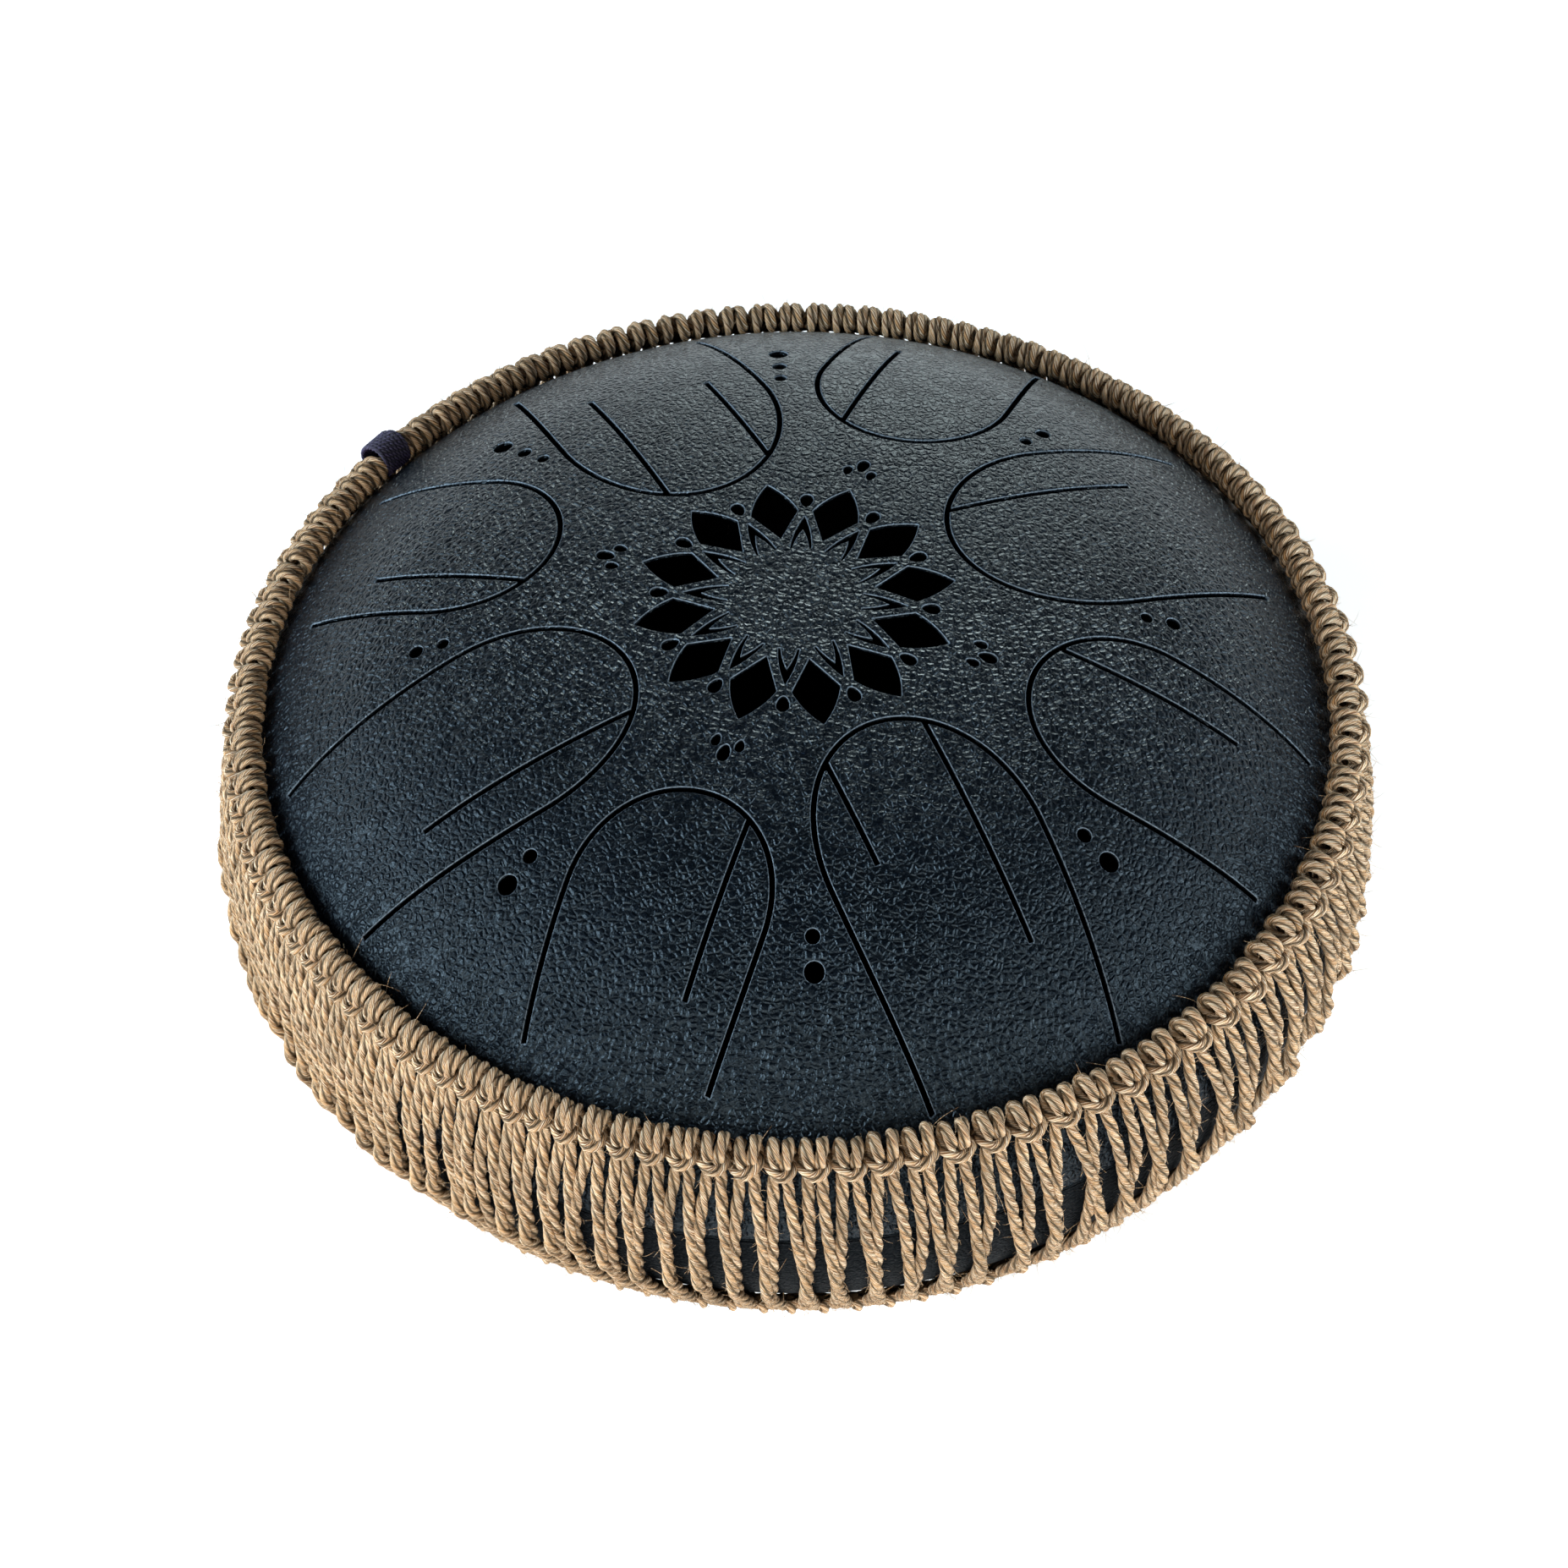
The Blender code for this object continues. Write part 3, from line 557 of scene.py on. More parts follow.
def make_resonator_bowl(finish):
    """Lower shell: the bowl's outside and inside profiles, joined at the rim and closed at the axis."""
    first = math.acos((SEAM_WIDTH / 2 / BOWL_DEPTH) ** (BOWL_POWER / 2))
    angle = first * (1 - np.arange(BOWL_RINGS) / BOWL_RINGS) ** BOWL_CREEP
    radius, height = bowl_profile(angle)
    along = np.stack((np.gradient(radius), np.gradient(height)))
    along /= np.hypot(*along)
    inner_radius, inner_height = radius + along[1] * WALL, height - along[0] * WALL
    radius = np.concatenate((inner_radius[::-1], radius))[:, None]
    height = np.concatenate((inner_height[::-1], height))[:, None]
    points = round_axis(radius, around(RING_SIDES), height).reshape(-1, 3)
    poles = [(0, 0, WELD_Z - BOWL_DEPTH + WALL), (0, 0, WELD_Z - BOWL_DEPTH)]
    mesh = make_mesh("resonator_bowl", np.concatenate((points, poles)), capped_faces(len(radius), RING_SIDES))
    mesh.set_sharp_from_angle(angle=SHELL_SHARP)
    return make_piece("resonator_bowl", mesh, finish, "shell_coat", "lower_shell")


def make_weld_bead(finish):
    """The bead between the rims: a crowned section whose crown ripples with the weld's overlapping pools."""
    turn = around(BEAD_SIDES)
    half = SEAM_WIDTH / 2 - GAP / 2
    section = np.linspace(-1, 1, 9)
    pools = 0.5 + 0.5 * np.sin(turn * WELD_POOLS + 1.3 * np.sin(turn * 7) + 0.8 * np.sin(turn * 23))
    crown = SHELL_RADIUS - BEAD_CROWN + (BEAD_CROWN * (0.9 + 0.7 * pools))[None, :] * (1 - section[:, None] ** 2)
    radius = np.concatenate((crown, np.full((2, BEAD_SIDES), SHELL_RADIUS - WALL)))
    height = np.concatenate((WELD_Z - half * section, [WELD_Z - half, WELD_Z + half]))
    points = round_axis(radius, turn, height[:, None]).reshape(-1, 3)
    rows = np.concatenate((np.arange(len(points)), np.arange(BEAD_SIDES)))
    mesh = make_mesh("weld_bead", points, [rows[grid_faces(len(height) + 1, BEAD_SIDES)]])
    mesh.set_sharp_from_angle(angle=math.radians(50))
    return make_piece("weld_bead", mesh, finish, "weld_coat", "weld_seam")


def make_foot(index, finish):
    """A moulded rubber pad: its top follows the bowl, its sole has a rounded edge and a shallow round recess."""
    azimuth = TAU * (index + 0.5) / FOOT_COUNT
    middle = FOOT_CIRCLE_RADIUS * np.array([math.cos(azimuth), math.sin(azimuth)])
    turn = around(FOOT_SIDES)
    bend = np.linspace(0, math.pi / 2, FOOT_BEND_STEPS)
    recess, recess_height = np.array(FOOT_RECESS).T
    sole_radius = FOOT_RADIUS - FOOT_EDGE + FOOT_EDGE * np.sin(bend)
    sole_height = FOOT_EDGE - FOOT_EDGE * np.cos(bend)
    top_radius = FOOT_RADIUS - FOOT_LIP + FOOT_LIP * np.cos(bend)
    top_drop = FOOT_LIP - FOOT_LIP * np.sin(bend)
    inner = np.array(FOOT_TOP_SHARES) * FOOT_RADIUS
    radius = np.concatenate((recess * FOOT_RADIUS, sole_radius, top_radius, inner))
    ground = np.concatenate((recess_height * MM, sole_height, np.full(len(top_radius) + len(inner), np.nan)))
    under_bowl = np.concatenate((np.zeros(len(recess) + len(sole_radius)), top_drop, np.zeros(len(inner))))
    x = middle[0] + radius[:, None] * np.cos(turn)
    y = middle[1] + radius[:, None] * np.sin(turn)
    seat = bowl_height(np.hypot(x, y)) - GAP - under_bowl[:, None]
    z = np.where(np.isnan(ground)[:, None], seat, ground[:, None])
    points = np.stack((x, y, z), -1).reshape(-1, 3)
    poles = [(*middle, recess_height[0] * MM), (*middle, bowl_height(FOOT_CIRCLE_RADIUS) - GAP)]
    mesh = make_mesh(f"rubber_pad_{index + 1}", np.concatenate((points, poles)), capped_faces(len(radius), FOOT_SIDES))
    mesh.set_sharp_from_angle(angle=math.radians(45))
    return make_piece(mesh.name, mesh, finish, "foot_rubber", f"rubber_foot_{index + 1}")


# ---------------------------------------------------------------- cords
def smooth_through(controls, steps=12):
    """Catmull-Rom curves through control points (cords, points, 3), with each end's point doubled."""
    padded = np.concatenate((controls[:, :1], controls, controls[:, -1:]), axis=1)
    a, b, c, d = (padded[:, k:k + controls.shape[1] - 1, None] for k in range(4))
    t = (np.arange(steps) / steps)[None, None, :, None]
    curve = 0.5 * (2 * b + (c - a) * t + (2 * a - 5 * b + 4 * c - d) * t ** 2 + (3 * b - a - 3 * c + d) * t ** 3)
    return np.concatenate((curve.reshape(len(controls), -1, 3), controls[:, -1:]), axis=1)


def evenly(paths, step):
    """Resamples paths (cords, points, 3) to the same count of points at even distances; also gives the distances."""
    lengths = np.concatenate((np.zeros((len(paths), 1)),
                              np.cumsum(np.linalg.norm(np.diff(paths, axis=1), axis=2), axis=1)), axis=1)
    count = int(lengths[:, -1].mean() / step) + 2
    runs = lengths[:, -1:] * np.linspace(0, 1, count)
    points = np.stack([np.stack([np.interp(run, length, path[:, axis]) for axis in range(3)], -1)
                       for run, length, path in zip(runs, lengths, paths)])
    return points, runs


def frames_along(points):
    """Tangents and turning-free normals along paths (cords, points, 3), carried on from each point to the next."""
    tangents = np.gradient(points, axis=1)
    tangents /= np.linalg.norm(tangents, axis=2, keepdims=True)
    normals = np.empty_like(points)
    start = np.cross(tangents[:, 0], (0.31, 0.22, 0.92))
    normals[:, 0] = start / np.linalg.norm(start, axis=1, keepdims=True)
    for k in range(1, points.shape[1]):
        carried = normals[:, k - 1] - tangents[:, k] * np.sum(normals[:, k - 1] * tangents[:, k], 1, keepdims=True)
        normals[:, k] = carried / np.linalg.norm(carried, axis=1, keepdims=True)
    return tangents, normals


def ply_section(sides):
    """Radius shares round a three-ply cord: three round plies that press together, with a groove between them."""
    across = (np.arange(sides) / sides * 3) % 1 - 0.5
    angle = across * TAU / 3
    reach, ply = 0.42, 0.58
    return reach * np.cos(angle) + np.sqrt(ply ** 2 - (reach * np.sin(angle)) ** 2)


def swept(points, runs, radii, section, lay):
    """Tubes round paths (cords, points, 3) whose section turns once per lay; returns points, quads, caps and UVs.

    The UV's first value runs once round the section and its second is the distance along the cord.
    """
    cords, stations, sides = points.shape[0], points.shape[1], len(section)
    tangents, normals = frames_along(points)
    sidewards = np.cross(tangents, normals)
    turn = around(sides) - TAU * runs[..., None] / lay
    reach = (radii[..., None] * section)[..., None]
    skin = (points[:, :, None] + reach * (np.cos(turn)[..., None] * normals[:, :, None]
                                          + np.sin(turn)[..., None] * sidewards[:, :, None]))
    faces = grid_faces(stations, sides)[:, ::-1]
    base = (np.arange(cords) * stations * sides)[:, None, None]
    quads = (base + faces).reshape(-1, 4)
    ring = np.arange(sides)
    caps = np.concatenate((base[:, 0] + ring[::-1], base[:, 0] + (stations - 1) * sides + ring))
    u = np.column_stack((ring, ring, ring + 1, ring + 1))[:, ::-1] / sides
    u = np.broadcast_to(u[None, None], (cords, stations - 1, sides, 4))
    near, far = runs[:, :-1, None], runs[:, 1:, None]
    v = np.stack(np.broadcast_arrays(near, far, far, near), -1)[..., ::-1]
    v = np.broadcast_to(v, (cords, stations - 1, sides, 4))
    quad_map = np.stack((u, v), -1).reshape(-1, 4, 2)
    cap_map = np.full((len(caps), sides, 2), 0.17)
    return skin.reshape(-1, 3), quads, caps, quad_map, cap_map


def joined(tubes):
    """Puts several sets of tubes together as the arrays of one mesh."""
    points, face_sets, maps, start = [], [], [], 0
    for skin, quads, caps, quad_map, cap_map in tubes:
        points.append(skin)
        face_sets += [quads + start, caps + start]
        maps += [quad_map, cap_map]
        start += len(skin)
    return np.concatenate(points), face_sets, maps


def unevenness(rng, runs, share):
    """A thickness factor along each cord: 1 plus three sine waves of random phase."""
    phase = rng.uniform(0, TAU, (len(runs), 3))
    waves = sum(np.sin(TAU * runs / length + phase[:, k:k + 1])
                for k, length in enumerate((0.011, 0.023, 0.047)))
    return 1 + share * waves / 3


def stray_fibres(rng, points, runs, radii, count, length, stations, thickness):
    """Stray fibres as three-sided hairs: each leaves a cord's skin and bends away with the square of its length."""
    cord = rng.integers(0, points.shape[0], count)
    station = rng.integers(1, points.shape[1] - 1, count)
    root = points[cord, station]
    along = points[cord, station + 1] - points[cord, station - 1]
    along /= np.linalg.norm(along, axis=1, keepdims=True)
    outward = root * (1, 1, 0) / np.linalg.norm(root[:, :2], axis=1, keepdims=True)
    aside = rng.normal(0, 1, (count, 3)) + outward * 0.9
    aside -= along * np.sum(aside * along, 1, keepdims=True)
    aside /= np.linalg.norm(aside, axis=1, keepdims=True)
    heading = (aside * rng.uniform(0.2, 0.9, (count, 1))
               + along * rng.choice((-1, 1), (count, 1)) * rng.uniform(0.5, 1.1, (count, 1)))
    bend = rng.normal(0, 0.35, (count, 3))
    t = np.linspace(0, 1, stations)[None, :, None]
    reach = rng.uniform(*length, (count, 1, 1))
    paths = ((root + aside * radii[cord, station, None] * 0.85)[:, None]
             + reach * (heading[:, None] * t + bend[:, None] * t ** 2))
    taper = np.broadcast_to(thickness * (1 - 0.6 * t[0, :, 0]), (count, stations))
    skin, quads, caps, quad_map, cap_map = swept(paths, reach[:, :, 0] * t[:, :, 0], taper, np.ones(3), LAY)
    quad_map[..., 0] = cap_map[0, 0, 0]
    return skin, quads, caps, quad_map, cap_map


# ---------------------------------------------------------------- the knotted net
def knot_places():
    """Azimuths of the knots in radians, from the pitch list: its reciprocal is summed up round the drum."""
    azimuth, pitch = np.array(KNOT_PITCH, float).T
    fine = np.linspace(-180, 180, 3601)
    density = 1 / np.interp(fine, azimuth, pitch, period=360)
    count = np.concatenate(([0], np.cumsum((density[1:] + density[:-1]) / 2 * np.diff(fine))))
    knots = int(round(count[-1]))
    count *= knots / count[-1]
    start = np.interp(FIRST_KNOT, fine, count)
    wanted = (start + np.arange(knots)) % knots
    places = np.interp(wanted, count, fine)
    return np.unwrap(np.radians(places)), knots


def net_azimuth(places, index):
    """Azimuth at a fractional knot number, going round and round."""
    knots = len(places)
    whole = np.floor(index / knots)
    extended = np.concatenate((places, [places[0] + TAU]))
    return np.interp(index - whole * knots, np.arange(knots + 1), extended) + whole * TAU


def leg_controls(places, rng, index, side):
    """Control points of the legs on one side: (azimuth, down, off), from the hitch to behind the bottom carrier.

    A right leg leans over to the next knot and climbs over that knot's left leg where they cross. The climb is
    a bell curve of the way down, and the sway is one sine bow and one S of random size.
    """
    begin, end = RIGHT_LEG if side > 0 else LEFT_LEG
    share = np.array(LEG_SHARES)
    knots = len(index)
    crossing = LEG_CROSSING + rng.normal(0, CROSSING_SCATTER, (knots, 1))
    sway = (rng.normal(0, LEG_SWAY, (knots, 1)) * np.sin(math.pi * share)
            + rng.normal(0, LEG_CURL, (knots, 1)) * np.sin(TAU * share))
    hump = np.exp(-((share - crossing) / CROSSING_SPREAD) ** 2)
    place = begin + (end - begin) * share + sway
    down = LEG_START + (NET_RUN - LEG_FOOT - LEG_START) * share
    off = (NET_CLEARANCE + CORD_RADIUS + hump * (LEG_LIFT if side > 0 else LEG_PRESS)
           + LEG_STAGGER * side * (1 - share))
    onwards, fall, out = np.array(LEG_TAIL).T
    tails = (end + onwards * side, NET_RUN + fall * MM, BOTTOM_OFF + out * MM)
    place, down, off = (np.concatenate([np.broadcast_to(part, (knots, part.shape[-1])) for part in parts], axis=1)
                        for parts in zip((place, down, off), tails))
    return np.stack((net_azimuth(places, index[:, None] + place), down, off), -1)


def make_net(finish, rng):
    """Doubled cords: each is hitched to the top carrier, and its two legs run down to the bottom carrier."""
    places, knots = knot_places()
    index = np.arange(knots).astype(float)
    pitch = (net_azimuth(places, index + 0.5) - net_azimuth(places, index - 0.5)) * CARRIER_RUN_RADIUS
    half = np.minimum(pitch * KNOT_FILL, KNOT_HALF_WIDTH) * rng.normal(1, KNOT_WIDTH_SCATTER, knots)
    reach = (half - HITCH_INSET)[:, None]
    tie = int(np.argmin(np.abs((np.degrees(places) - TIE_AZIMUTH + 180) % 360 - 180)))

    share, down, out = np.array(HITCH).T
    slack = rng.normal(0, HITCH_SLACK, (knots, 1))
    tilt = rng.normal(0, HITCH_TILT, (knots, 1))
    sides = []
    for side in (-1, 1):
        across = side * share * reach * (1 + rng.normal(0, HITCH_SCATTER, (knots, 1)) * (share > 0))
        azimuth = places[:, None] + across / CARRIER_RUN_RADIUS
        fall = down * MM * (1 + rng.normal(0, HITCH_SCATTER, (knots, 1)) * (share > 0)) + slack + tilt * across
        off = CARRIER_OFF + out * MM + np.zeros((knots, 1))
        hitch = np.stack((azimuth, fall, off), -1)
        sides.append(np.concatenate((hitch, leg_controls(places, rng, index, side)), axis=1))
    left, right = sides
    controls = np.concatenate((left[:, :0:-1], right), axis=1)
    ordinary = np.arange(knots) != tie
    doubled = controls[ordinary]
    tied = np.concatenate([leg[tie:tie + 1, len(HITCH) - 3:] for leg in (left, right)])

    offset, down, out = np.array(SCALLOP).T
    place = BOTTOM_KNOT + offset + rng.normal(0, SCALLOP_SHIFT, (knots, 1))
    fall = (NET_RUN + down * MM * (1 + rng.normal(0, SCALLOP_SCATTER, (knots, 1)))
            + rng.normal(0, SCALLOP_SLACK, (knots, 1)))
    scallops = np.stack((net_azimuth(places, index[:, None] + place), fall,
                         BOTTOM_OFF + out * MM + np.zeros((knots, 1))), -1)

    batches = []
    for controls, owner, radius in ((doubled, places[ordinary], CORD_RADIUS), (tied, places[[tie, tie]], CORD_RADIUS),
                                    (scallops, places, SCALLOP_RADIUS)):
        drawn = smooth_through(controls)
        points, runs = evenly(on_net(drawn[..., 0], drawn[..., 1], drawn[..., 2]), CORD_STEP)
        radii = radius * unevenness(rng, runs, CORD_UNEVENNESS)
        batches.append((points, runs, radii, np.degrees(owner) % 360))
    section = ply_section(CORD_SIDES)
    for panel in range(NET_PANELS):
        tubes = []
        for points, runs, radii, owner in batches:
            mine = (owner // (360 / NET_PANELS)).astype(int) == panel
            if mine.any():
                tubes.append(swept(points[mine], runs[mine], radii[mine], section, LAY))
                for share, *hair in STRAY_FIBRES:
                    count = int(mine.sum() * runs[mine][0, -1] * share)
                    tubes.append(stray_fibres(rng, points[mine], runs[mine], radii[mine], count, *hair))
        mesh = make_mesh(f"knotted_net_{panel + 1:02d}", *joined(tubes))
        make_piece(mesh.name, mesh, finish, "jute_net", f"net_panel_{panel + 1:02d}")
    return places[tie]


def make_carrier(name, down, off, finish, node):
    """A cord run once round the drum through the knots."""
    count = CARRIER_STATIONS
    points = on_net(np.linspace(0, TAU, count), np.full(count, down), np.full(count, off))[None]
    runs = np.linspace(0, 1, count)[None] * math.floor(TAU * CARRIER_RUN_RADIUS / LAY) * LAY
    tube = swept(points, runs, np.full(runs.shape, CORD_RADIUS), ply_section(CORD_SIDES), LAY)
    mesh = make_mesh(name, *joined([tube]))
    return make_piece(name, mesh, finish, "jute_carrier", node)


def make_tie(azimuth, finish):
    """A whipping of thin black cord: a helix round the top carrier, one knot wide.

    Its ends tuck in to 70 % of its radius over half a turn.
    """
    t = np.linspace(0, 1, 60 * TIE_TURNS)
    angle = TAU * TIE_TURNS * t
    tuck = np.minimum(1, np.minimum(t, 1 - t) * TIE_TURNS * 2)
    helix_radius = TIE_RADIUS * (0.70 + 0.30 * tuck)
    along = (t - 0.5) * TIE_WIDTH
    points = on_net(azimuth + along / CARRIER_RUN_RADIUS, helix_radius * np.cos(angle),
                    CARRIER_OFF + TIE_LIFT + helix_radius * np.sin(angle))[None]
    points, runs = evenly(points, TIE_STEP)
    tube = swept(points, runs, np.full(runs.shape, TIE_CORD_RADIUS), ply_section(TIE_CORD_SIDES), TIE_LAY)
    mesh = make_mesh("black_whipping", *joined([tube]))
    return make_piece("black_whipping", mesh, finish, "black_cord", "black_tie")


# ---------------------------------------------------------------- node helpers
def add_node(tree, kind, inputs=None, **settings):
    """Adds a node, sets its properties, and fills its inputs with values or links them to sockets."""
    node = tree.nodes.new(kind)
    for name, value in settings.items():
        setattr(node, name, value)
    for name, value in (inputs or {}).items():
        if isinstance(value, bpy.types.NodeSocket):
            tree.links.new(value, node.inputs[name])
        else:
            node.inputs[name].default_value = value
    return node


def calculate(tree, operation, *values):
    """A Math node on values or sockets."""
    return add_node(tree, "ShaderNodeMath", dict(enumerate(values)), operation=operation).outputs[0]


def times(tree, first, second):
    """The product of two values or sockets."""
    return calculate(tree, "MULTIPLY", first, second)


def noise(tree, place, scale, detail, roughness=0.5):
    """Outputs of a noise texture: a value and a colour."""
    return add_node(tree, "ShaderNodeTexNoise", {"Vector": place, "Scale": scale, "Detail": detail,
                                                 "Roughness": roughness}).outputs


def blend_colours(tree, share, first, second):
    """A colour Mix node."""
    return add_node(tree, "ShaderNodeMix", {0: share, 6: first, 7: second}, data_type="RGBA").outputs[2]


def step_between(tree, value, low, high, out_low=0.0, out_high=1.0):
    """A smooth step of a value from low to high."""
    node = add_node(tree, "ShaderNodeMapRange", {"Value": value, "From Min": low, "From Max": high,
                                                 "To Min": out_low, "To Max": out_high},
                    interpolation_type="SMOOTHSTEP")
    return node.outputs[0]


def new_group(name, inputs, outputs):
    """A node group with named inputs, all floats but the first, which is a vector, and named float outputs."""
    group = bpy.data.node_groups.new(name, "ShaderNodeTree")
    for socket, value in inputs.items():
        kind = "NodeSocketVector" if value is None else "NodeSocketFloat"
        made = group.interface.new_socket(name=socket, in_out="INPUT", socket_type=kind)
        if value is not None:
            made.default_value = value
    for socket in outputs:
        group.interface.new_socket(name=socket, in_out="OUTPUT", socket_type="NodeSocketFloat")
    return group, group.nodes.new("NodeGroupInput").outputs, group.nodes.new("NodeGroupOutput").inputs


def link_all(tree, targets, sockets):
    """Links sockets to inputs by name."""
    for name, socket in sockets.items():
        tree.links.new(socket, targets[name])


def use_group(tree, group, inputs):
    """Places a node group in a material."""
    return add_node(tree, "ShaderNodeGroup", inputs, node_tree=group).outputs


def new_material(name, **constants):
    """An empty Principled material; constants go on the shader's own sockets."""
    made = bpy.data.materials.new(name)
    made.use_nodes = True
    shader = made.node_tree.nodes["Principled BSDF"]
    for socket, value in constants.items():
        shader.inputs[socket.replace("_", " ")].default_value = value
    return made, made.node_tree, shader


def finish_surface(tree, shader, base, roughness, height, strength, distance):
    """Links a surface's colour, roughness and bump to its shader."""
    bump = add_node(tree, "ShaderNodeBump", {"Strength": strength, "Distance": distance, "Height": height})
    link_all(tree, shader.inputs, {"Base Color": base, "Roughness": roughness, "Normal": bump.outputs[0]})


def colour(r, g, b):
    """A colour given by its sRGB shares of 255, as linear RGBA."""
    linear = [c / 12.92 if c <= 0.04045 else ((c + 0.055) / 1.055) ** 2.4 for c in (r / 255, g / 255, b / 255)]
    return (*linear, 1.0)


# ---------------------------------------------------------------- shared effects
def twisted_fibre_group():
    """Fibres of a twisted cord from its UVs: streaks along the cord, the grooves between its plies, their height.

    The noise is read on a helix, at the sine and cosine of the angle round the cord plus its turns along it.
    """
    group, given, out = new_group("twisted_fibre",
                                  {"UV": None, "Streaks": 6.0, "Fibre turns": 40.0, "Groove width": 0.2},
                                  ["Fibre", "Fine fibre", "Groove", "Height"])
    round_cord, along, _ = add_node(group, "ShaderNodeSeparateXYZ", {0: given["UV"]}).outputs
    angle = calculate(group, "ADD", times(group, round_cord, TAU), times(group, along, given["Fibre turns"]))
    x = times(group, calculate(group, "COSINE", angle), given["Streaks"])
    y = times(group, calculate(group, "SINE", angle), given["Streaks"])
    helix = add_node(group, "ShaderNodeCombineXYZ", {0: x, 1: y, 2: times(group, along, 130.0)}).outputs[0]
    coarse = noise(group, helix, 0.55, 3.0, 0.6)[0]
    stretched = add_node(group, "ShaderNodeVectorMath", {0: helix, 1: (1.0, 1.0, 0.6)}, operation="MULTIPLY").outputs[0]
    fine = noise(group, stretched, 2.1, 4.0, 0.65)[0]
    ply = calculate(group, "FRACT", times(group, round_cord, 3.0))
    from_groove = calculate(group, "MINIMUM", ply, calculate(group, "SUBTRACT", 1.0, ply))
    ragged = calculate(group, "ADD", from_groove, times(group, calculate(group, "SUBTRACT", coarse, 0.5), 0.22))
    groove = calculate(group, "SUBTRACT", 1.0, step_between(group, ragged, 0.0, given["Groove width"]))
    fibre = step_between(group, coarse, 0.34, 0.68)
    height = calculate(group, "ADD", times(group, fibre, 0.6),
                       calculate(group, "SUBTRACT", times(group, fine, 0.8), times(group, groove, 0.7)))
    link_all(group, out, {"Fibre": fibre, "Fine fibre": fine, "Groove": groove, "Height": height})
    return group


def crackle_coat_group():
    """Leathery powder coat: domed cells with creases between them, a finer speckle and a large, slow mottle."""
    group, given, out = new_group("crackle_coat",
                                  {"Vector": None, "Cell size": 0.0023, "Crease width": 0.22, "Crease depth": 1.0},
                                  ["Crease", "Speckle", "Mottle", "Height"])
    place = given["Vector"]
    scale = calculate(group, "DIVIDE", 1.0, given["Cell size"])
    warped = add_node(group, "ShaderNodeVectorMath",
                      {0: noise(group, place, 260.0, 2.0)[1], 1: (0.0022, 0.0022, 0.0022), 2: place},
                      operation="MULTIPLY_ADD").outputs[0]
    cells = add_node(group, "ShaderNodeTexVoronoi", {"Vector": warped, "Scale": scale, "Randomness": 1.0},
                     feature="DISTANCE_TO_EDGE").outputs["Distance"]
    crease = calculate(group, "SUBTRACT", 1.0, step_between(group, cells, 0.0, given["Crease width"]))
    broken = step_between(group, noise(group, place, 120.0, 2.0)[0], 0.30, 0.62, 0.60, 1.0)
    crease = times(group, times(group, crease, broken), given["Crease depth"])
    speckle = noise(group, place, 1100.0, 3.0, 0.7)[0]
    mottle = noise(group, place, 30.0, 4.0, 0.6)[0]
    height = calculate(group, "SUBTRACT", times(group, speckle, 0.55), crease)
    link_all(group, out, {"Crease": crease, "Speckle": speckle, "Mottle": mottle, "Height": height})
    return group


# ---------------------------------------------------------------- materials
def jute_material(name, fibre_group, dark, mid, light, dark_fibre_and_groove_shade, wear):
    """Hairy three-ply jute: tan fibres with light and brown streaks, and painted shade in the grooves between its
    plies.
    """
    made, tree, shader = new_material(name, Specular_IOR_Level=0.18, Sheen_Weight=0.25, Sheen_Roughness=0.6,
                                      Sheen_Tint=colour(235, 205, 160))
    uv = add_node(tree, "ShaderNodeUVMap", uv_map="cord").outputs[0]
    place = add_node(tree, "ShaderNodeTexCoord").outputs["Object"]
    fibre = use_group(tree, fibre_group, {"UV": uv, "Streaks": 5.0, "Fibre turns": 250.0, "Groove width": 0.28})
    patches = noise(tree, place, 55.0, 3.0, 0.55)[0]
    straw = blend_colours(tree, fibre["Fibre"], dark, mid)
    straw = blend_colours(tree, step_between(tree, fibre["Fine fibre"], 0.50, 0.60), straw, light)
    straw = blend_colours(tree, step_between(tree, fibre["Fine fibre"], 0.475, 0.405, 0.0, 0.92), straw, dark_fibre_and_groove_shade)
    straw = blend_colours(tree, step_between(tree, patches, 0.42, 0.75, 0.0, wear), straw, dark_fibre_and_groove_shade)
    # Painted shade: the grooves between the plies are darkened towards near black.
    straw = blend_colours(tree, times(tree, fibre["Groove"], 0.95), straw, dark_fibre_and_groove_shade)
    roughness = step_between(tree, fibre["Fine fibre"], 0.3, 0.8, 0.95, 0.78)
    finish_surface(tree, shader, straw, roughness, fibre["Height"], 0.85, 0.0007)
    return made


def black_cord_material(fibre_group):
    """Thin polished cotton cord, black with a faint violet sheen; the violet of its fibre streaks is partly dye and
    partly painted sheen, and its grooves hold painted shade.
    """
    made, tree, shader = new_material("black_cotton_cord", Specular_IOR_Level=0.4, Sheen_Weight=0.35,
                                      Sheen_Roughness=0.4, Sheen_Tint=colour(120, 105, 160))
    uv = add_node(tree, "ShaderNodeUVMap", uv_map="cord").outputs[0]
    fibre = use_group(tree, fibre_group, {"UV": uv, "Streaks": 3.0, "Fibre turns": 420.0, "Groove width": 0.25})
    # The violet streaks are partly dye and partly painted sheen.
    dye_sheen_and_groove_shade = blend_colours(tree, fibre["Fibre"], colour(20, 19, 30), colour(66, 60, 92))
    # Painted shade in the grooves between the plies.
    dye_sheen_and_groove_shade = blend_colours(tree, fibre["Groove"], dye_sheen_and_groove_shade, colour(5, 5, 8))
    roughness = step_between(tree, fibre["Fine fibre"], 0.3, 0.7, 0.45, 0.7)
    finish_surface(tree, shader, dye_sheen_and_groove_shade, roughness, fibre["Height"], 0.7, 0.0003)
    return made


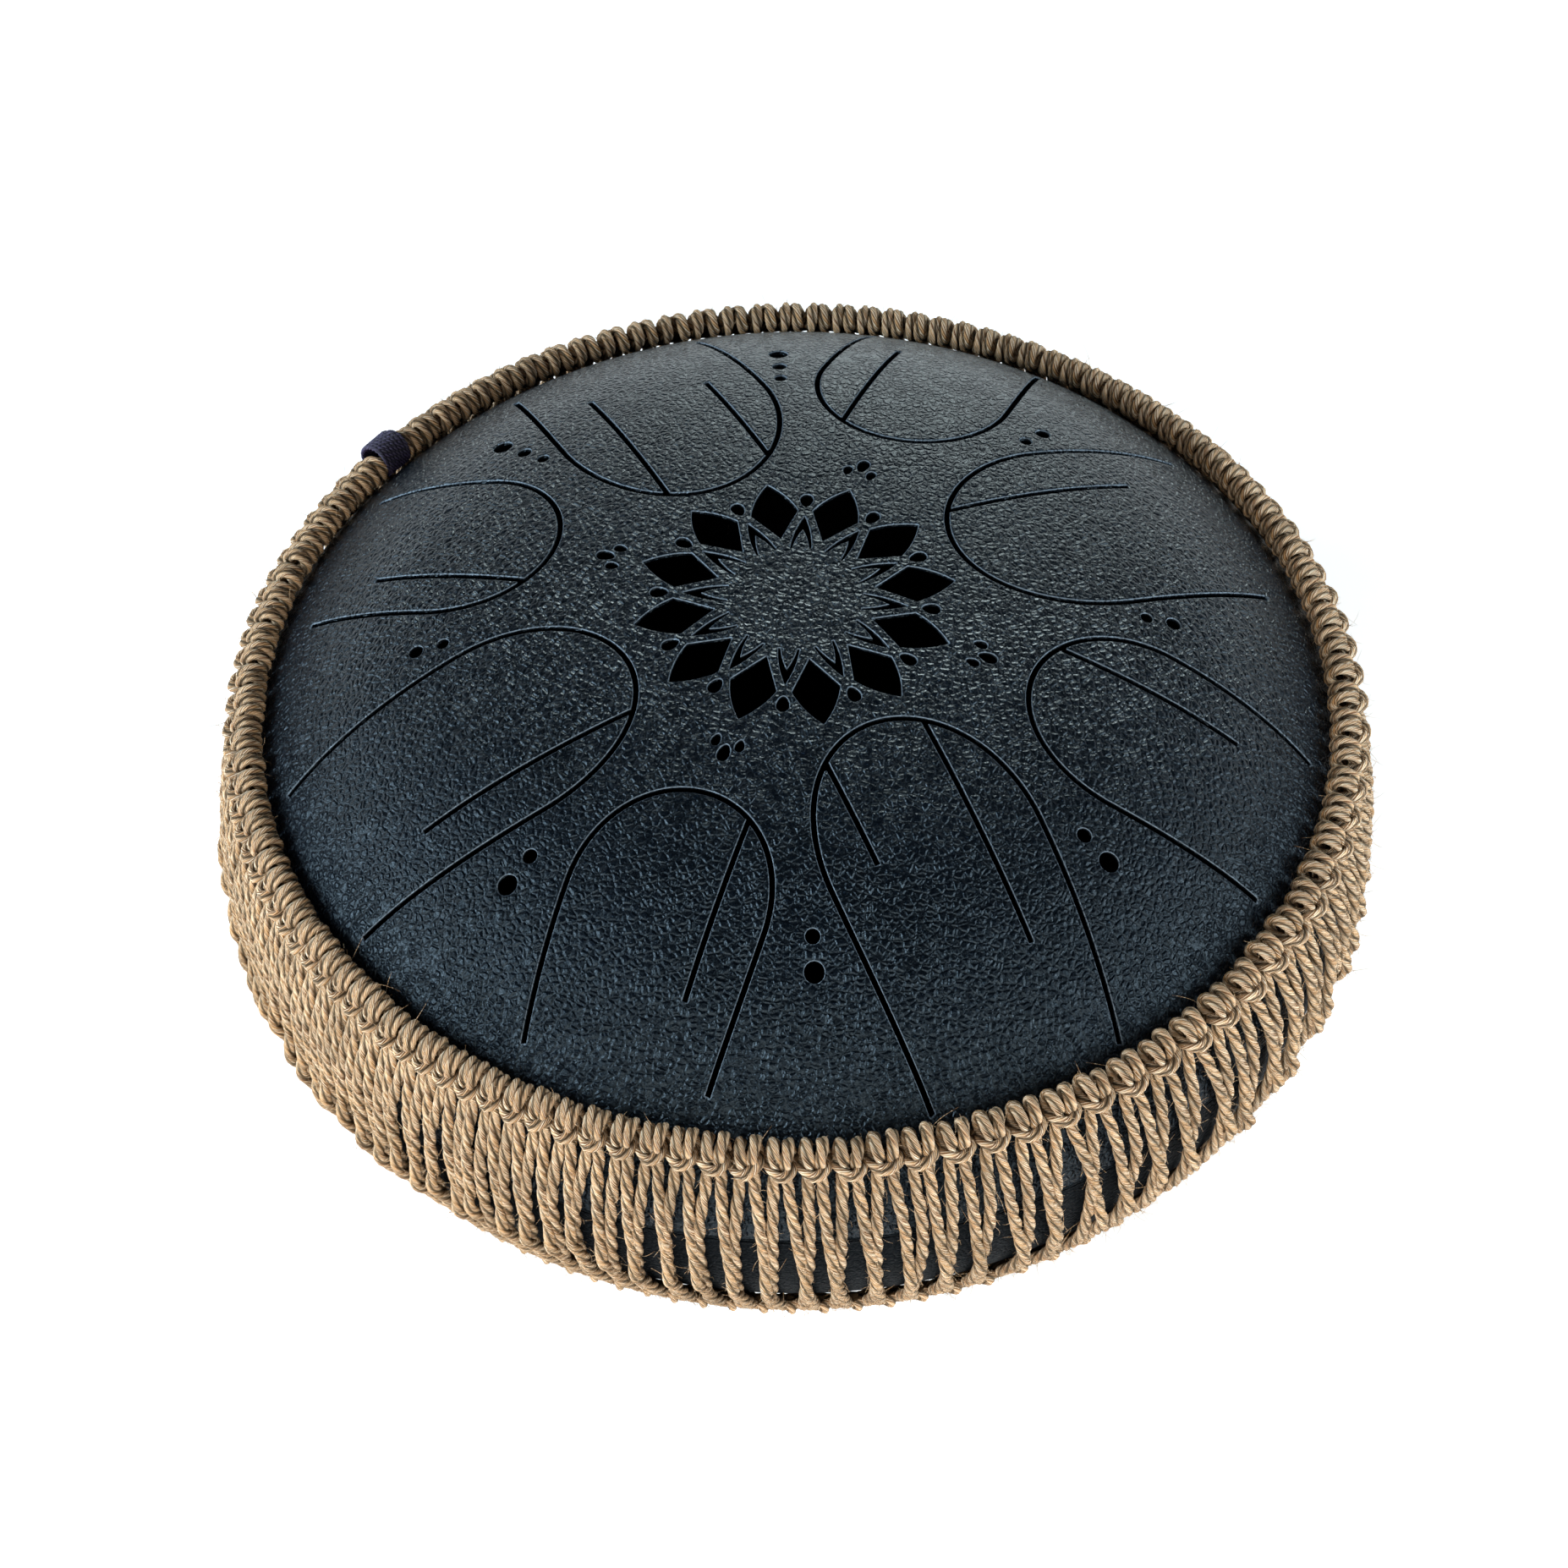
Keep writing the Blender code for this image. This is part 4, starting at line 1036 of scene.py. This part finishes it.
def coat_material(name, coat_group, cell_size, depth, dark, light, painted_glint, gloss, shine):
    """Navy crackle powder coat on steel, with painted shade in its creases and painted glints in its flecks; along the
    edges that the cut_edge attribute marks it is painted pale as a highlight and made smoother.
    """
    made, tree, shader = new_material(name, Metallic=0.0, Specular_IOR_Level=shine, Specular_Tint=colour(205, 235, 255))
    place = add_node(tree, "ShaderNodeTexCoord").outputs["Object"]
    coat = use_group(tree, coat_group, {"Vector": place, "Cell size": cell_size, "Crease width": 0.30,
                                        "Crease depth": depth})
    base = blend_colours(tree, step_between(tree, coat["Mottle"], 0.36, 0.68), dark, light)
    # Painted shade: the creases are darkened towards near black.
    base = blend_colours(tree, times(tree, coat["Crease"], 0.5), base, colour(5, 7, 10))
    # Painted highlight: flecks of the speckle are turned pale as glints.
    painted_glint_flecks = step_between(tree, coat["Speckle"], 0.61, 0.72)
    base = blend_colours(tree, times(tree, painted_glint_flecks, 0.35), base, painted_glint)
    edge = add_node(tree, "ShaderNodeAttribute", attribute_name="cut_edge").outputs["Fac"]
    # Painted highlight: the coat is turned pale along the cut edges.
    base = blend_colours(tree, times(tree, edge, 0.55), base, colour(150, 168, 184))
    rough = step_between(tree, coat["Speckle"], 0.35, 0.70, gloss + 0.12, gloss - 0.10)
    rough = calculate(tree, "SUBTRACT", rough, times(tree, edge, 0.10))
    finish_surface(tree, shader, base, rough, coat["Height"], 1.0, 0.00055)
    return made


def rubber_material(coat_group):
    """Black moulded rubber with a fine matt grain and a little dust."""
    made, tree, shader = new_material("foot_rubber", Specular_IOR_Level=0.35)
    place = add_node(tree, "ShaderNodeTexCoord").outputs["Object"]
    grain = use_group(tree, coat_group, {"Vector": place, "Cell size": 0.0008, "Crease width": 0.3,
                                         "Crease depth": 0.3})
    dust = step_between(tree, grain["Mottle"], 0.45, 0.75, 0.0, 0.35)
    dusty = blend_colours(tree, dust, colour(22, 22, 23), colour(62, 60, 57))
    roughness = step_between(tree, grain["Speckle"], 0.3, 0.7, 0.62, 0.86)
    finish_surface(tree, shader, dusty, roughness, grain["Height"], 0.35, 0.0002)
    return made


# ---------------------------------------------------------------- stage, light and camera
def make_stage():
    """A plain white floor that glows a little, and a studio that is pale at the horizon and dark overhead."""
    mesh = bpy.data.meshes.new("floor")
    corners = [(x * FLOOR_HALF, y * FLOOR_HALF, -GAP) for x, y in ((-1, -1), (1, -1), (1, 1), (-1, 1))]
    mesh.from_pydata(corners, [], [(0, 1, 2, 3)])
    floor = bpy.data.objects.new("floor", mesh)
    finish, _, shader = new_material("white_floor", Roughness=0.9, Specular_IOR_Level=0.1, Emission_Strength=FLOOR_GLOW)
    shader.inputs["Base Color"].default_value = (0.92, 0.92, 0.92, 1)
    shader.inputs["Emission Color"].default_value = (1, 1, 1, 1)
    mesh.materials.append(finish)
    bpy.context.scene.collection.objects.link(floor)

    world = bpy.data.worlds.new("studio")
    world.use_nodes = True
    tree = world.node_tree
    direction = add_node(tree, "ShaderNodeTexCoord").outputs["Generated"]
    up = add_node(tree, "ShaderNodeSeparateXYZ", {0: direction}).outputs[2]
    sky = blend_colours(tree, step_between(tree, up, *SKY_FADE), SKY_HORIZON, SKY_OVERHEAD)
    tree.links.new(sky, tree.nodes["Background"].inputs["Color"])
    bpy.context.scene.world = world


def placement(place, right, up, back):
    """The matrix of an object at a place, turned to its right, up and back directions."""
    return Matrix.Translation(place) @ Matrix((right, up, back)).transposed().to_4x4()


def add_softbox(name, place, aim, size, power, tint):
    """A square area light at a place, turned to its aim."""
    light = bpy.data.lights.new(name, "AREA")
    light.size = size
    light.energy = power
    light.color = tint
    lamp = bpy.data.objects.new(name, light)
    back = np.subtract(place, aim)
    back = back / np.linalg.norm(back)
    right = np.cross((0, 0, 1), back)
    right = right / np.linalg.norm(right)
    lamp.matrix_world = placement(place, right, np.cross(back, right), back)
    bpy.context.scene.collection.objects.link(lamp)


def make_camera():
    """The camera, from its place and directions."""
    camera = bpy.data.cameras.new("camera")
    camera.lens, camera.sensor_width = CAMERA_LENS, CAMERA_SENSOR
    camera.clip_start, camera.clip_end = CAMERA_CLIP
    holder = bpy.data.objects.new("camera", camera)
    holder.matrix_world = placement(CAMERA_PLACE, CAMERA_RIGHT, CAMERA_UP, CAMERA_BACK)
    bpy.context.scene.collection.objects.link(holder)
    bpy.context.scene.camera = holder


def main():
    rng = np.random.default_rng(SEED)
    make_camera()
    make_stage()
    for softbox in SOFTBOXES:
        add_softbox(*softbox)
    bpy.context.scene.view_settings.view_transform = "Standard"

    fibre_group, coat_group = twisted_fibre_group(), crackle_coat_group()
    coat = coat_material("navy_crackle_coat", coat_group, 0.0025, 1.0, colour(3, 6, 11), colour(6, 11, 18),
                         colour(54, 74, 94), 0.27, 0.26)
    bowl_coat = coat_material("shaded_bowl_coat", coat_group, 0.0025, 0.6, colour(3, 4, 6), colour(6, 8, 11),
                              colour(16, 20, 24), 0.60, 0.08)
    bead = coat_material("weld_crackle_coat", coat_group, 0.0012, 0.6, colour(4, 6, 9), colour(8, 12, 16),
                         colour(20, 26, 32), 0.55, 0.12)
    jute = jute_material("jute_net_cord", fibre_group, colour(124, 74, 38), colour(232, 180, 122),
                         colour(255, 243, 218), colour(16, 9, 5), 0.34)
    # The carrier ropes' jute is a darker copy of the net's: painted shade for the ropes that lie under the knots.
    carrier = jute_material("shaded_jute_carrier_cord", fibre_group, colour(58, 38, 22), colour(92, 66, 42),
                            colour(136, 106, 74), colour(14, 8, 5), 0.45)
    black = black_cord_material(fibre_group)
    rubber = rubber_material(coat_group)

    make_playing_shell(coat)
    make_resonator_bowl(bowl_coat)
    make_weld_bead(bead)
    make_carrier("top_carrier_rope", TOP_ROPE_SLIP, CARRIER_OFF - TOP_ROPE_PRESS, carrier, "top_carrier_cord")
    make_carrier("bottom_carrier_rope", NET_RUN, BOTTOM_OFF - BOTTOM_ROPE_PRESS, carrier, "bottom_carrier_cord")
    tie_azimuth = make_net(jute, rng)
    make_tie(tie_azimuth, black)
    for index in range(FOOT_COUNT):
        make_foot(index, rubber)


main()
